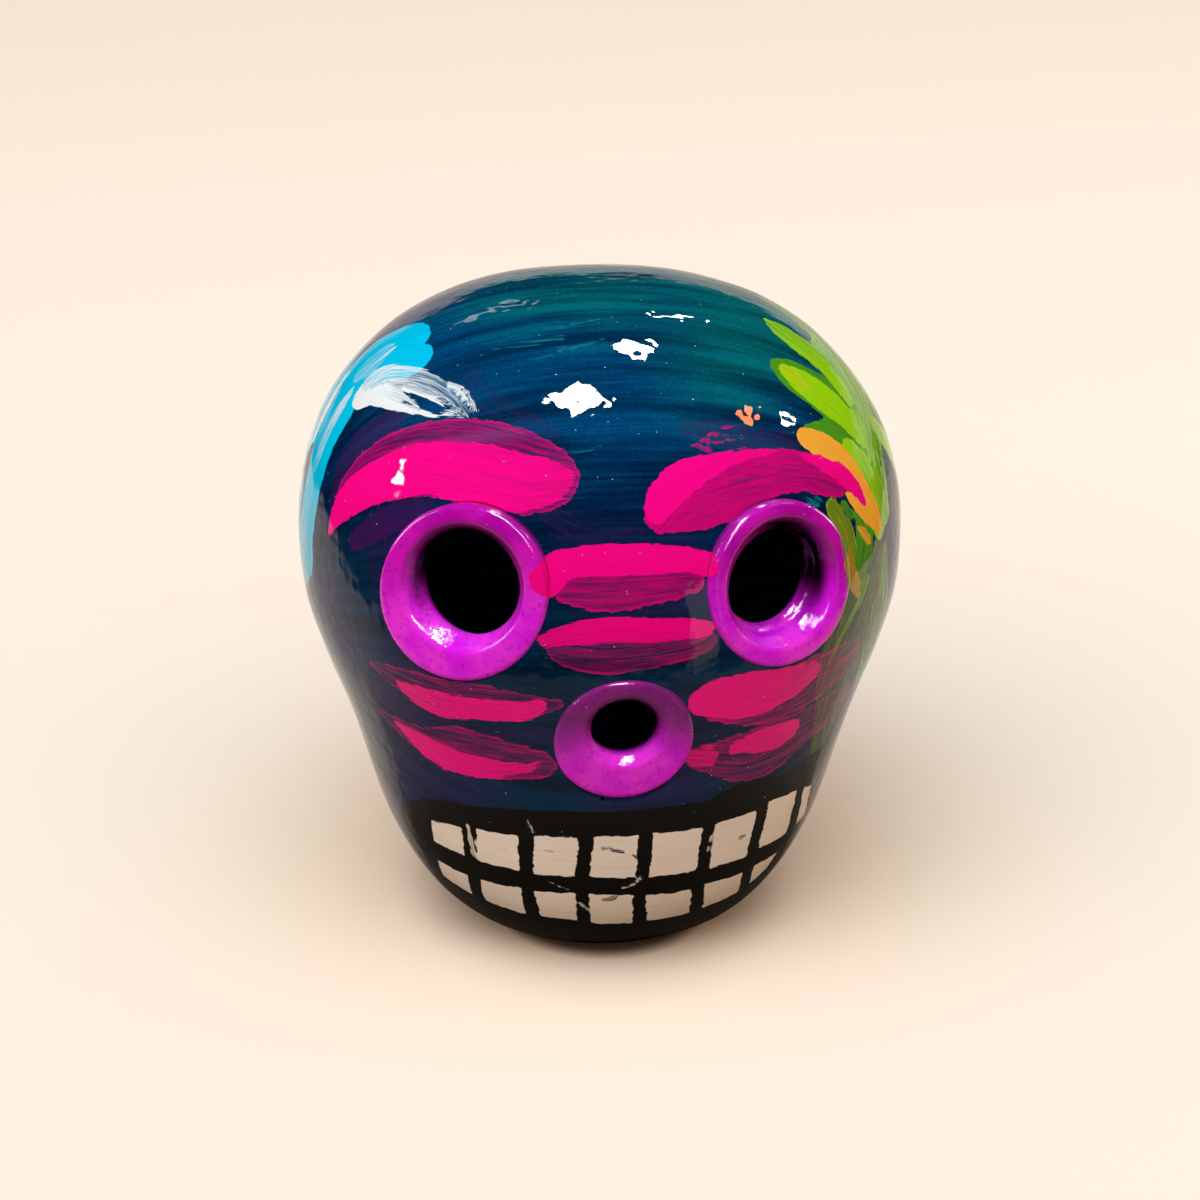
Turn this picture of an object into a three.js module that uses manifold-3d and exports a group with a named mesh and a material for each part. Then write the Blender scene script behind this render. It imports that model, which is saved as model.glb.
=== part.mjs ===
// A hollow skull of fired clay in the sugar-skull style: two pressed halves joined by a band of clay
// inside the seam, and three flared rings set round the eye and nose holes.
// Millimetres, +Z up, the face looks along -Y and the flat base rests on z = 0.
import * as THREE from 'three';
import { mergeVertices } from 'three/addons/utils/BufferGeometryUtils.js';
import Module from 'manifold-3d';

const wasm = await Module();
wasm.setup();

// Driving sizes of the head. The two reaches are measured from the seam plane between the halves.
const skullHeight = 81.3;
const skullHalfWidth = 37.2;
const faceReach = 37;
const backReach = 50.5;
const wall = 5;

// Joints: the clay slip between two pieces, and how far a cutting form runs past what it cuts.
const jointGap = 0.3;
const overrun = 10;

// The band of clay pressed along the inside of the seam.
const bandWidth = 7;
const bandThickness = 2.2;

// Where the holes are, as shares of the head's half width and height, and how each ring leans:
// turn is to the skull's left, tilt is upward.
const eyeAcrossShare = 0.5134;
const eyeHeightShare = 0.6458;
const noseHeightShare = 0.4268;
const eyeTurn = 30;
const eyeTilt = 0;
const noseTilt = -15;

// The rings. The right eye's is a little larger, as hand-pressed rings are.
const rightEyeRadius = 10.9;
const rightEyeBore = 6.3;
const leftEyeRadius = 10.3;
const leftEyeBore = 5.9;
const noseRadius = 8.2;
const noseBore = 4.1;
const ringRise = 0.7;
const ringShoulder = 0.8;
const ringFace = 1.4;
const ringBite = 0.8;
const spigotWall = 1.3;
const spigotLength = 2;

// Fineness of the solids, in counts.
const headPoints = 48;
const headRows = 30;
const cavityPoints = 36;
const cavityRows = 24;
const ringPoints = 36;
const arcSteps = 3;
const searchSteps = 40;

// Control sections from the base to the crown, for a smooth curve that rounds between them:
// shares of the height, the half width, the face reach and the back reach.
const sectionShares = [
  [0, 0, 0, 0],
  [0, 0.16, 0.2, 0.3],
  [0, 0.35, 0.4, 0.5],
  [0.025, 0.485, 0.56, 0.61],
  [0.11, 0.67, 0.73, 0.74],
  [0.235, 0.775, 0.82, 0.83],
  [0.37, 0.85, 0.895, 0.92],
  [0.505, 0.985, 0.965, 0.99],
  [0.64, 1.01, 1.015, 1.02],
  [0.79, 0.955, 0.94, 0.9],
  [0.93, 0.705, 0.67, 0.57],
  [0.995, 0.33, 0.3, 0.2],
  [1, 0, 0, 0],
];

// How much wider than an ellipse the back of each section is.
const backFullnessShare = 0.12;

const clay = {
  shell: { color: 0x12395a, roughness: 0.22, metalness: 0 },
  band: { color: 0xa9663f, roughness: 0.9, metalness: 0 },
  ring: { color: 0xb01cc4, roughness: 0.22, metalness: 0 },
};

// The control sections in millimetres, drawn in all round by an inset.
function controlSections(inset) {
  return sectionShares.map(([up, out, front, back]) => [
    inset + up * (skullHeight - 2 * inset),
    Math.max(0, out * skullHalfWidth - inset),
    Math.max(0, front * faceReach - inset),
    Math.max(0, back * backReach - inset),
  ]);
}

// The section at a share of the way from the base to the crown, on a uniform cubic B-spline.
// Past each end the next section is mirrored through the axis, so the form closes smoothly.
function sectionAt(share, inset) {
  const rows = controlSections(inset);
  const mirrored = (row) => row.map((value, column) => (column === 0 ? value : -value));
  const all = [mirrored(rows[1]), ...rows, mirrored(rows[rows.length - 2])];
  const spans = all.length - 3;
  const span = Math.min(spans - 1, Math.floor(share * spans));
  const t = share * spans - span;
  const weights = [
    (1 - t) ** 3 / 6,
    (3 * t ** 3 - 6 * t ** 2 + 4) / 6,
    (-3 * t ** 3 + 3 * t ** 2 + 3 * t + 1) / 6,
    t ** 3 / 6,
  ];
  return rows[0].map((_, column) => weights.reduce((sum, w, k) => sum + w * all[span + k][column], 0));
}

// A point of a level section. Its front and back halves have their own reach and blend at the sides,
// and the back half is fuller.
function sectionPoint([height, halfWidth, front, back], angle, target) {
  const side = Math.cos(angle);
  const depth = Math.sin(angle);
  const mean = (front + back) / 2;
  const difference = (back - front) / 2;
  const y = depth * mean + (difference * depth ** 2 * (3 - depth ** 2)) / 2;
  const fullness = 1 + backFullnessShare * Math.max(0, depth) ** 3;
  return target.set(halfWidth * side * fullness, y, height);
}

// The closed form of the head, drawn in by an inset: a sphere's grid laid on the sections.
function headForm(inset, around, rows) {
  const geometry = new THREE.SphereGeometry(1, around, rows);
  const place = geometry.attributes.position;
  const grid = geometry.attributes.uv;
  const point = new THREE.Vector3();
  for (let i = 0; i < place.count; i += 1) {
    const section = sectionAt(grid.getY(i), inset);
    sectionPoint(section, Math.PI + 2 * Math.PI * grid.getX(i), point);
    place.setXYZ(i, point.x, point.y, point.z);
  }
  return geometry;
}

// A place on the face at a distance from the midline and a height, found on the same sections.
function facePlace(across, height) {
  let low = 0;
  let high = 1;
  for (let step = 0; step < searchSteps; step += 1) {
    const middle = (low + high) / 2;
    if (sectionAt(middle, 0)[0] < height) low = middle;
    else high = middle;
  }
  const section = sectionAt(low, 0);
  return sectionPoint(section, -Math.acos(across / section[1]), new THREE.Vector3());
}

// Half of the depth by which the back reaches further than the face: it centres the head on y = 0.
function seamPlace() {
  let front = 0;
  let back = 0;
  for (let row = 0; row <= headRows; row += 1) {
    const section = sectionAt(row / headRows, 0);
    front = Math.max(front, section[2]);
    back = Math.max(back, section[3]);
  }
  return (front - back) / 2;
}

function solidOf(geometry) {
  const bare = geometry.clone();
  bare.deleteAttribute('normal');
  bare.deleteAttribute('uv');
  const merged = mergeVertices(bare);
  const vertProperties = new Float32Array(merged.attributes.position.array);
  const triVerts = new Uint32Array(merged.index.array);
  return new wasm.Manifold(new wasm.Mesh({ numProp: 3, vertProperties, triVerts }));
}

function geometryOf(solid) {
  const mesh = solid.getMesh();
  const geometry = new THREE.BufferGeometry();
  geometry.setAttribute('position', new THREE.BufferAttribute(mesh.vertProperties, 3));
  geometry.setIndex(new THREE.BufferAttribute(mesh.triVerts, 1));
  geometry.computeVertexNormals();
  return geometry;
}

// A block between two depths, larger than the head on its other sides.
function block(fromY, toY) {
  const span = 2 * (skullHalfWidth + overrun);
  const geometry = new THREE.BoxGeometry(span, toY - fromY, skullHeight + 2 * overrun);
  return geometry.translate(0, (fromY + toY) / 2, skullHeight / 2);
}

// The turned and tilted seat of a ring: its +Y is the ring's axis, and its origin lies where the
// flange's underside comes, sunk below the face by the curve of the face under the ring and a bite.
function ringSeat(ring) {
  const faceRadius = (skullHalfWidth + faceReach) / 2;
  const sink = ring.radius ** 2 / (2 * faceRadius) + ringBite;
  const turn = THREE.MathUtils.degToRad(ring.turn);
  const tilt = THREE.MathUtils.degToRad(ring.tilt);
  const axis = new THREE.Vector3(
    Math.sin(turn) * Math.cos(tilt),
    -Math.cos(turn) * Math.cos(tilt),
    Math.sin(tilt),
  );
  const seat = new THREE.Object3D();
  seat.quaternion.setFromUnitVectors(new THREE.Vector3(0, 1, 0), axis);
  seat.position.copy(facePlace(ring.across, ring.height)).addScaledVector(axis, -sink);
  seat.updateMatrix();
  return { seat, sink, faceRadius };
}

// The ring's turned section: a spigot in the hole, a flange on the seat, a rounded shoulder, a face
// that follows the head, and a mouth that curves in to the bore.
function ringGeometry(ring) {
  const { sink, faceRadius } = ringSeat(ring);
  const faceLevel = (radius) => sink - radius ** 2 / (2 * faceRadius) + ringRise;
  const shoulder = ring.radius - ringShoulder;
  const crest = shoulder - ringFace;
  const edge = faceLevel(shoulder) - ringShoulder;
  const mouthDepth = faceLevel(crest) + spigotLength;
  const outline = new THREE.Path();
  outline.moveTo(ring.bore, -spigotLength);
  outline.lineTo(ring.bore + spigotWall, -spigotLength);
  outline.lineTo(ring.bore + spigotWall, 0);
  outline.lineTo(ring.radius, 0);
  outline.absellipse(shoulder, edge, ringShoulder, ringShoulder, 0, Math.PI / 2);
  outline.absellipse(crest, -spigotLength, crest - ring.bore, mouthDepth, Math.PI / 2, Math.PI);
  const points = outline.getPoints(arcSteps);
  points[points.length - 1].copy(points[0]);
  return new THREE.LatheGeometry(points, ringPoints);
}

// What a ring takes out of the face: the flange's seat and the spigot's hole, both with the joint gap.
function ringCut(ring) {
  const { seat } = ringSeat(ring);
  const flange = new THREE.CylinderGeometry(
    ring.radius + jointGap, ring.radius + jointGap, overrun + jointGap, ringPoints,
  );
  flange.translate(0, (overrun - jointGap) / 2, 0);
  const holeRadius = ring.bore + spigotWall + jointGap;
  const hole = new THREE.CylinderGeometry(holeRadius, holeRadius, 2 * overrun, ringPoints);
  return solidOf(flange.applyMatrix4(seat.matrix)).add(solidOf(hole.applyMatrix4(seat.matrix)));
}

const eyeAcross = eyeAcrossShare * skullHalfWidth;
const eyeHeight = eyeHeightShare * skullHeight;
const noseHeight = noseHeightShare * skullHeight;

const rings = [
  {
    name: 'right_eye_ring', radius: rightEyeRadius, bore: rightEyeBore,
    across: -eyeAcross, height: eyeHeight, turn: -eyeTurn, tilt: eyeTilt,
  },
  {
    name: 'left_eye_ring', radius: leftEyeRadius, bore: leftEyeBore,
    across: eyeAcross, height: eyeHeight, turn: eyeTurn, tilt: eyeTilt,
  },
  {
    name: 'nose_ring', radius: noseRadius, bore: noseBore,
    across: 0, height: noseHeight, turn: 0, tilt: noseTilt,
  },
];

// The hollow head between two depths, which is one of its halves.
function shellBetween(fromY, toY) {
  const outside = solidOf(headForm(0, headPoints, headRows));
  const inside = solidOf(headForm(wall, cavityPoints, cavityRows));
  return outside.subtract(inside).intersect(solidOf(block(fromY, toY)));
}

function frontShell() {
  const half = shellBetween(-faceReach - overrun, 0);
  return rings.map(ringCut).reduce((shell, cut) => shell.subtract(cut), half);
}

function backShell() {
  return shellBetween(0, backReach + overrun);
}

function seamBand() {
  const outside = solidOf(headForm(wall + jointGap, cavityPoints, cavityRows));
  const inside = solidOf(headForm(wall + jointGap + bandThickness, cavityPoints, cavityRows));
  return outside.subtract(inside).intersect(solidOf(block(-bandWidth / 2, bandWidth / 2)));
}

function named(name, geometry, finish) {
  const mesh = new THREE.Mesh(geometry, new THREE.MeshStandardMaterial(finish));
  mesh.name = name;
  return mesh;
}

const skull = new THREE.Group();
skull.position.y = seamPlace();
skull.add(named('front_shell', geometryOf(frontShell()), clay.shell));
skull.add(named('back_shell', geometryOf(backShell()), clay.shell));
skull.add(named('seam_coil', geometryOf(seamBand()), clay.band));
for (const ring of rings) {
  const mesh = named(ring.name, ringGeometry(ring), clay.ring);
  const { seat } = ringSeat(ring);
  mesh.position.copy(seat.position);
  mesh.quaternion.copy(seat.quaternion);
  skull.add(mesh);
}

export default skull;
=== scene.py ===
import math

import bmesh
import bpy
import numpy as np
from mathutils import Matrix, Vector, noise
from mathutils.bvhtree import BVHTree


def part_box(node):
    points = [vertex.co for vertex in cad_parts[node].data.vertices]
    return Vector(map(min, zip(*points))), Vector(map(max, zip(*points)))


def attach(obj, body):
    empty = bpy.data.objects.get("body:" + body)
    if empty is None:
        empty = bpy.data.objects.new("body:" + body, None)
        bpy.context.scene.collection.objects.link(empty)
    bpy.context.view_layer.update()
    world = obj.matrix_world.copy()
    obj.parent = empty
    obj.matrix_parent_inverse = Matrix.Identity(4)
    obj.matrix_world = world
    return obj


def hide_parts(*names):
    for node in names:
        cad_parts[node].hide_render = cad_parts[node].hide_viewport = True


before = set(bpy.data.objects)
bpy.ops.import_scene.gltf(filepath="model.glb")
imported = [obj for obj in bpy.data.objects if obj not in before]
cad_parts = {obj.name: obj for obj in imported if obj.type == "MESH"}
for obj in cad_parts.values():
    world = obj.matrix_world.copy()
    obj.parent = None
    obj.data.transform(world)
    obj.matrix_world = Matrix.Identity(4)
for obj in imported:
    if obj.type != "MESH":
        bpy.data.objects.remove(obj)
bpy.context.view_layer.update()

mm = 0.001
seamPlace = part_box("front_shell")[1].y  # the upright plane where the two halves were joined
rootBody = "root"


# The camera comes first: paint is laid on the head through it, by pixels of the 1200 x 1200 picture.

camera = {
    "turn": -5.0,          # degrees round the skull from straight ahead
    "rise": 20.0,          # degrees above level
    "distance": 450 * mm,
    "lookHeight": 40 * mm,
    "sideStep": 0.125 * mm,
    "lens": 108.0,
    "sensor": 36.0,
    "nearest": 10 * mm,
    "pictureSize": 1200,
}


def makeCamera():
    turn = math.radians(camera["turn"])
    rise = math.radians(camera["rise"])
    back = Vector((math.sin(turn) * math.cos(rise), -math.cos(turn) * math.cos(rise), math.sin(rise)))
    right = Vector((math.cos(turn), math.sin(turn), 0))
    up = back.cross(right)
    target = Vector((0, seamPlace, camera["lookHeight"])) + right * camera["sideStep"]
    eye = target + back * camera["distance"]
    data = bpy.data.cameras.new("pictureCamera")
    data.lens = camera["lens"]
    data.sensor_width = camera["sensor"]
    data.clip_start = camera["nearest"]
    made = bpy.data.objects.new("pictureCamera", data)
    made.matrix_world = Matrix.Translation(eye) @ Matrix((right, up, back)).transposed().to_4x4()
    bpy.context.scene.collection.objects.link(made)
    bpy.context.scene.camera = made
    return {"eye": eye, "right": right, "up": up, "back": back}


sight = makeCamera()


def pixelRay(x, y):
    half = camera["pictureSize"] / 2
    focal = camera["lens"] / camera["sensor"] * camera["pictureSize"]
    aim = sight["right"] * (x - half) + sight["up"] * (half - y) - sight["back"] * focal
    return sight["eye"], aim.normalized()


# The head. Both skins follow the same level sections as the clay shells.

head = {
    "height": 81.3 * mm,
    "halfWidth": 37.2 * mm,
    "faceReach": 37.0 * mm,
    "backReach": 50.5 * mm,
    "wall": 5.0 * mm,
    "backFullness": 0.12,
    "coarseRound": 120,     # faces of the first ball, before each is cut finer
    "coarseRows": 75,
    "outerCuts": 3,
    "innerCuts": 0,
    "lumpHeight": 0.16 * mm,   # hand-pressed clay is never quite smooth
    "lumpSize": 15 * mm,
    "fineLumps": 0.5,          # finer lumps are half as high, and there are more of them
    "fineLumpScale": 2.3,
    "calmEdge": 2.5 * mm,      # lumps die out this close to the seam and the base
}

# Height, half width, reach of the face and reach of the back of each section.
sectionShares = [
    (0, 0, 0, 0),
    (0, 0.16, 0.2, 0.3),
    (0, 0.35, 0.4, 0.5),
    (0.025, 0.485, 0.56, 0.61),
    (0.11, 0.67, 0.73, 0.74),
    (0.235, 0.775, 0.82, 0.83),
    (0.37, 0.85, 0.895, 0.92),
    (0.505, 0.985, 0.965, 0.99),
    (0.64, 1.01, 1.015, 1.02),
    (0.79, 0.955, 0.94, 0.9),
    (0.93, 0.705, 0.67, 0.57),
    (0.995, 0.33, 0.3, 0.2),
    (1, 0, 0, 0),
]


def sectionsAt(shares, inset):
    rows = np.array(sectionShares) * (1, head["halfWidth"], head["faceReach"], head["backReach"])
    rows[:, 0] = inset + rows[:, 0] * (head["height"] - 2 * inset)
    rows[:, 1:] = np.maximum(0, rows[:, 1:] - inset)
    mirrored = np.array((1, -1, -1, -1))
    rows = np.vstack([rows[1] * mirrored, rows, rows[-2] * mirrored])
    spans = len(rows) - 3
    span = np.minimum(spans - 1, np.floor(shares * spans)).astype(int)
    t = (shares * spans - span)[:, None]
    weights = [(1 - t) ** 3, 3 * t ** 3 - 6 * t ** 2 + 4, -3 * t ** 3 + 3 * t ** 2 + 3 * t + 1, t ** 3]
    return sum(weight / 6 * rows[span + k] for k, weight in enumerate(weights))


def onSections(sections, side, depth):
    height, width, face, back = sections.T
    y = depth * (face + back) / 2 + (back - face) / 2 * depth ** 2 * (3 - depth ** 2) / 2
    fullness = 1 + head["backFullness"] * np.maximum(0, depth) ** 3
    return np.stack([width * side * fullness, y + seamPlace, height], 1)


def readPlaces(mesh):
    places = np.zeros(len(mesh.vertices) * 3)
    mesh.vertices.foreach_get("co", places)
    return places.reshape(-1, 3)


def readNormals(mesh):
    normals = np.zeros(len(mesh.vertices) * 3)
    mesh.vertex_normals.foreach_get("vector", normals)
    return normals.reshape(-1, 3)


def makeSkin(name, inset, cuts):
    skin = bmesh.new()
    bmesh.ops.create_uvsphere(skin, u_segments=head["coarseRound"], v_segments=head["coarseRows"], radius=1)
    bmesh.ops.subdivide_edges(skin, edges=skin.edges, cuts=cuts, use_grid_fill=True)
    mesh = bpy.data.meshes.new(name)
    skin.to_mesh(mesh)
    skin.free()
    ball = readPlaces(mesh)
    ball /= np.linalg.norm(ball, axis=1)[:, None]
    flat = np.maximum(np.hypot(ball[:, 0], ball[:, 1]), 1e-9)
    shares = np.clip(0.5 + np.arcsin(np.clip(ball[:, 2], -1, 1)) / math.pi, 0, 1)
    places = onSections(sectionsAt(shares, inset), ball[:, 0] / flat, ball[:, 1] / flat)
    mesh.vertices.foreach_set("co", places.ravel())
    mesh.update()
    return mesh


def lumpAt(place):
    spot = Vector(place) / head["lumpSize"]
    return noise.noise(spot) + head["fineLumps"] * noise.noise(spot * head["fineLumpScale"])


def pressLumps(mesh):
    places = readPlaces(mesh)
    outward = readNormals(mesh)
    calm = head["calmEdge"]
    outward[:, 1] *= np.clip(np.abs(places[:, 1] - seamPlace) / calm, 0, 1)
    heights = np.array([lumpAt(place) for place in places])
    heights *= head["lumpHeight"] * np.clip(places[:, 2] / calm, 0, 1)
    mesh.vertices.foreach_set("co", (places + outward * heights[:, None]).ravel())
    mesh.update()


def treeOf(mesh):
    body = bmesh.new()
    body.from_mesh(mesh)
    tree = BVHTree.FromBMesh(body)
    body.free()
    return tree


outerSkin = makeSkin("outerSkin", 0, head["outerCuts"])
pressLumps(outerSkin)
innerSkin = makeSkin("innerSkin", head["wall"], head["innerCuts"])
outerTree = treeOf(outerSkin)
innerTree = treeOf(innerSkin)
print("skins made:", len(outerSkin.vertices), "and", len(innerSkin.vertices), "points")


# The rings round the eyes and the nose.

rings = {
    "rise": 0.7 * mm,
    "shoulder": 0.8 * mm,
    "bend": 0.9 * mm,       # radius of the lip where the face turns into the mouth
    "mouthSlope": 35.0,     # degrees between the mouth's wall and the ring's axis
    "bite": 0.8 * mm,       # how far a ring sinks into the face
    "spigotWall": 1.3 * mm,
    "spigotLength": 2.9 * mm,
    "spigotPlay": 0.3 * mm,
    "paintGap": 0.02 * mm,
    "stepsRound": 144,
    "shoulderSteps": 6,
    "bendSteps": 6,
    "mouthSteps": 6,
    "wobble": 0.16 * mm,
    "wobbleScale": 1.7,
    "weld": 0.001 * mm,
    "margin": 0.1 * mm,     # for telling one surface of a ring from the next
    "rimReach": 3 * mm,     # how far round a hole the points of its rim may lie
    "neckMargin": 0.05 * mm,
    "eyeAcross": 0.5134,   # shares of the head's half width and height
    "eyeHeight": 0.6458,
    "noseHeight": 0.4268,
}

# Each ring was pinched round a finger: its mouth and throat lie a little off its middle (right, up), it
# leans a little to one side, and painted shade darkens the inside of its mouth toward one side.
ringSizes = {
    "right_eye_ring": {"side": -1, "turn": -30, "tilt": 0, "radius": 10.9 * mm, "bore": 6.3 * mm,
                       "face": 1.7 * mm, "mouthShift": (0.5 * mm, 1.1 * mm), "tall": 1.0,
                       "throatShift": (-0.1 * mm, -0.15 * mm), "lean": 0.15, "throatLean": 0.04,
                       "darkToward": (-0.55, 0.83)},
    "left_eye_ring": {"side": 1, "turn": 30, "tilt": 0, "radius": 10.3 * mm, "bore": 5.8 * mm,
                      "face": 0.9 * mm, "mouthShift": (-0.35 * mm, 0.4 * mm), "tall": 1.0,
                      "throatShift": (-0.1 * mm, 0.1 * mm), "lean": -0.12, "throatLean": 0.0,
                      "darkToward": (0.8, 0.6)},
    "nose_ring": {"side": 0, "turn": 0, "tilt": -15, "radius": 8.2 * mm, "bore": 4.0 * mm,
                  "face": 2.1 * mm, "mouthShift": (0.1 * mm, 1.8 * mm), "tall": 1.05,
                  "throatShift": (0.0, -0.3 * mm), "lean": 0.03, "throatLean": 0.0,
                  "darkToward": (0.1, 1.0)},
}


def facePlace(across, height):
    shares = np.linspace(0, 1, 2001)
    share = np.interp(height, sectionsAt(shares, 0)[:, 0], shares)
    section = sectionsAt(np.array([share]), 0)
    side = across / section[0, 1]
    return Vector(onSections(section, side, -math.sqrt(1 - side ** 2))[0])


def seatRing(size):
    turn, tilt = math.radians(size["turn"]), math.radians(size["tilt"])
    axis = Vector((math.sin(turn) * math.cos(tilt), -math.cos(turn) * math.cos(tilt), math.sin(tilt)))
    faceRadius = (head["halfWidth"] + head["faceReach"]) / 2
    size["sink"] = size["radius"] ** 2 / (2 * faceRadius) + rings["bite"]
    size["faceRadius"] = faceRadius
    across = size["side"] * rings["eyeAcross"] * head["halfWidth"]
    level = rings["eyeHeight"] if size["side"] else rings["noseHeight"]
    size["axis"] = axis
    size["seat"] = facePlace(across, level * head["height"]) - axis * size["sink"]
    right = Vector((0, 0, 1)).cross(axis).normalized()
    turned = Matrix((right, axis.cross(right), axis)).transposed().to_4x4()
    size["matrix"] = Matrix.Translation(size["seat"]) @ turned
    size["inverse"] = size["matrix"].inverted()


def ringProfile(size):
    radius, bore, sink = size["radius"], size["bore"], size["sink"]

    def level(r):
        return sink - r ** 2 / (2 * size["faceRadius"]) + rings["rise"]

    spigot, length = bore + rings["spigotWall"], rings["spigotLength"]
    corner = radius - rings["shoulder"]
    crest, bend = corner - size["face"], rings["bend"]
    size["crest"], size["crestLevel"] = crest, level(crest)
    points = [(bore, -length), (spigot, -length), (spigot, 0), (radius, 0)]
    for k in range(rings["shoulderSteps"] + 1):
        angle = math.pi / 2 * k / rings["shoulderSteps"]
        drop = rings["shoulder"] * (math.sin(angle) - 1)
        points.append((corner + rings["shoulder"] * math.cos(angle), level(corner) + drop))
    for k in range(rings["bendSteps"] + 1):
        angle = math.radians(90 + (90 - rings["mouthSlope"]) * k / rings["bendSteps"])
        points.append((crest + bend * math.cos(angle), level(crest) + bend * (math.sin(angle) - 1)))
    lipRadius, lipLevel = points[-1]
    throatLevel = lipLevel - (lipRadius - bore) / math.tan(math.radians(rings["mouthSlope"]))
    for k in range(1, rings["mouthSteps"] + 1):
        share = k / rings["mouthSteps"]
        points.append((lipRadius + (bore - lipRadius) * share, lipLevel + (throatLevel - lipLevel) * share))
    return points


def keepPiece(mesh, name, cadNode):
    piece = bpy.data.objects.new(name, mesh)
    bpy.context.scene.collection.objects.link(piece)
    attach(piece, rootBody)
    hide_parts(cadNode)
    return piece


def makeRing(name, size):
    ring = bmesh.new()
    points = [ring.verts.new((r, 0, h)) for r, h in ringProfile(size)]
    edges = [ring.edges.new(pair) for pair in zip(points, points[1:] + points[:1])]
    bmesh.ops.spin(ring, geom=points + edges, cent=(0, 0, 0), axis=(0, 0, 1), angle=2 * math.pi,
                   steps=rings["stepsRound"], use_merge=True, use_duplicate=False)
    bmesh.ops.remove_doubles(ring, verts=ring.verts, dist=rings["weld"])
    bmesh.ops.recalc_face_normals(ring, faces=ring.faces)
    depth = ring.verts.layers.float.new("depth")    # mm below the lip, inside the mouth
    upward = ring.verts.layers.float.new("upward")  # 1 at the ring's top, -1 at its bottom
    # darkward is 1 toward the side of the mouth that is painted in shade
    darkward = ring.verts.layers.float.new("darkward")
    crest, spigot, margin = size["crest"], size["bore"] + rings["spigotWall"], rings["margin"]
    for point in ring.verts:
        radius, level = point.co.xy.length, point.co.z
        shown = min(1, max(0, level / rings["rise"]))
        around = Vector((point.co.x / radius, point.co.y / radius, size["radius"] / mm))
        outside = min(1, max(0, (radius - crest) / (size["radius"] - crest)))
        inside = min(1, max(0, (crest - radius) / (crest - size["bore"])))
        deep = level < margin - rings["spigotLength"]
        hidden = level <= 0 and (deep or radius > size["bore"] + margin)
        if radius < crest + margin or hidden:
            point[depth] = (size["crestLevel"] - level) / mm
        point[upward] = point.co.y / size["radius"]
        point[darkward] = point.co.xy.normalized().dot(Vector(size["darkToward"]))
        if not hidden or radius > spigot + margin:
            lean = size["lean"] + (size["throatLean"] - size["lean"]) * inside
            point.co.y = point.co.y * (1 + (size["tall"] - 1) * (1 - inside)) + lean * point.co.x
        if not hidden:
            point.co.xy += Vector(size["mouthShift"]) * (1 - outside) + Vector(size["throatShift"]) * inside
        point.co.z += noise.noise(around * rings["wobbleScale"]) * rings["wobble"] * shown
    bmesh.ops.transform(ring, matrix=size["matrix"], verts=ring.verts)
    mesh = bpy.data.meshes.new(name)
    ring.to_mesh(mesh)
    ring.free()
    mesh.shade_smooth()
    return keepPiece(mesh, name, name.replace("_painted", ""))


for size in ringSizes.values():
    seatRing(size)
ringPieces = {name: makeRing(name + "_painted", size) for name, size in ringSizes.items()}
print("rings turned:", len(ringPieces))


# The two halves of the head, with a seat cut for each ring.

def onRing(size, place, shaped=False):
    local = size["inverse"] @ place
    if shaped:
        local.y = (local.y - size["lean"] * local.x) / size["tall"]
    return local.xy.length, local


def fromRing(size, local, shaped=False):
    if shaped:
        local.y = local.y * size["tall"] + size["lean"] * local.x
    return size["matrix"] @ local


def openSkin(skin, tree, size, radius, shaped=False):
    near = [face for face in skin.faces if (face.verts[0].co - size["seat"]).length < 2 * radius
            and any(onRing(size, corner.co, shaped)[0] < radius for corner in face.verts)]
    bmesh.ops.delete(skin, geom=near, context="FACES")
    rim = [edge for edge in skin.edges if edge.is_boundary
           and all(onRing(size, corner.co)[0] < radius + rings["rimReach"] for corner in edge.verts)]
    for corner in {corner for edge in rim for corner in edge.verts}:
        far, local = onRing(size, corner.co, shaped)
        local.xy *= radius / far
        local.z = head["wall"] * 2
        corner.co = tree.ray_cast(fromRing(size, local, shaped), -size["axis"])[0]
    return rim


def stepRim(skin, rim, size, radius, level):
    made = bmesh.ops.extrude_edge_only(skin, edges=rim)["geom"]
    for corner in [part for part in made if isinstance(part, bmesh.types.BMVert)]:
        far, local = onRing(size, corner.co)
        local.xy *= radius / far if radius else 1
        local.z = level
        corner.co = size["matrix"] @ local
    return [part for part in made if isinstance(part, bmesh.types.BMEdge) and part.is_boundary]


def loadSkin(mesh, flip=False):
    skin = bmesh.new()
    skin.from_mesh(mesh)
    if flip:
        bmesh.ops.reverse_faces(skin, faces=skin.faces)
    smooth = skin.verts.layers.float_vector.new("smoothNormal")
    skin.normal_update()
    for corner in skin.verts:
        corner[smooth] = corner.normal
    return skin


def cutHead():
    outer = loadSkin(outerSkin)
    inner = loadSkin(innerSkin, flip=True)
    for size in ringSizes.values():
        neck = size["bore"] + rings["spigotWall"] + rings["spigotPlay"]
        size["neck"] = neck
        rim = openSkin(outer, outerTree, size, size["radius"] + rings["paintGap"], True)
        rim = stepRim(outer, rim, size, 0, -rings["paintGap"])
        rim = stepRim(outer, rim, size, neck, -rings["paintGap"])
        openSkin(inner, innerTree, size, neck)
    joined = bpy.data.meshes.new("innerOpen")
    inner.to_mesh(joined)
    inner.free()
    outer.from_mesh(joined)
    for size in ringSizes.values():
        rims = [edge for edge in outer.edges if edge.is_boundary
                and all(abs(onRing(size, corner.co)[0] - size["neck"]) < rings["neckMargin"]
                        for corner in edge.verts)]
        bmesh.ops.bridge_loops(outer, edges=rims)
    whole = bpy.data.meshes.new("wholeHead")
    outer.to_mesh(whole)
    outer.free()
    return whole


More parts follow.
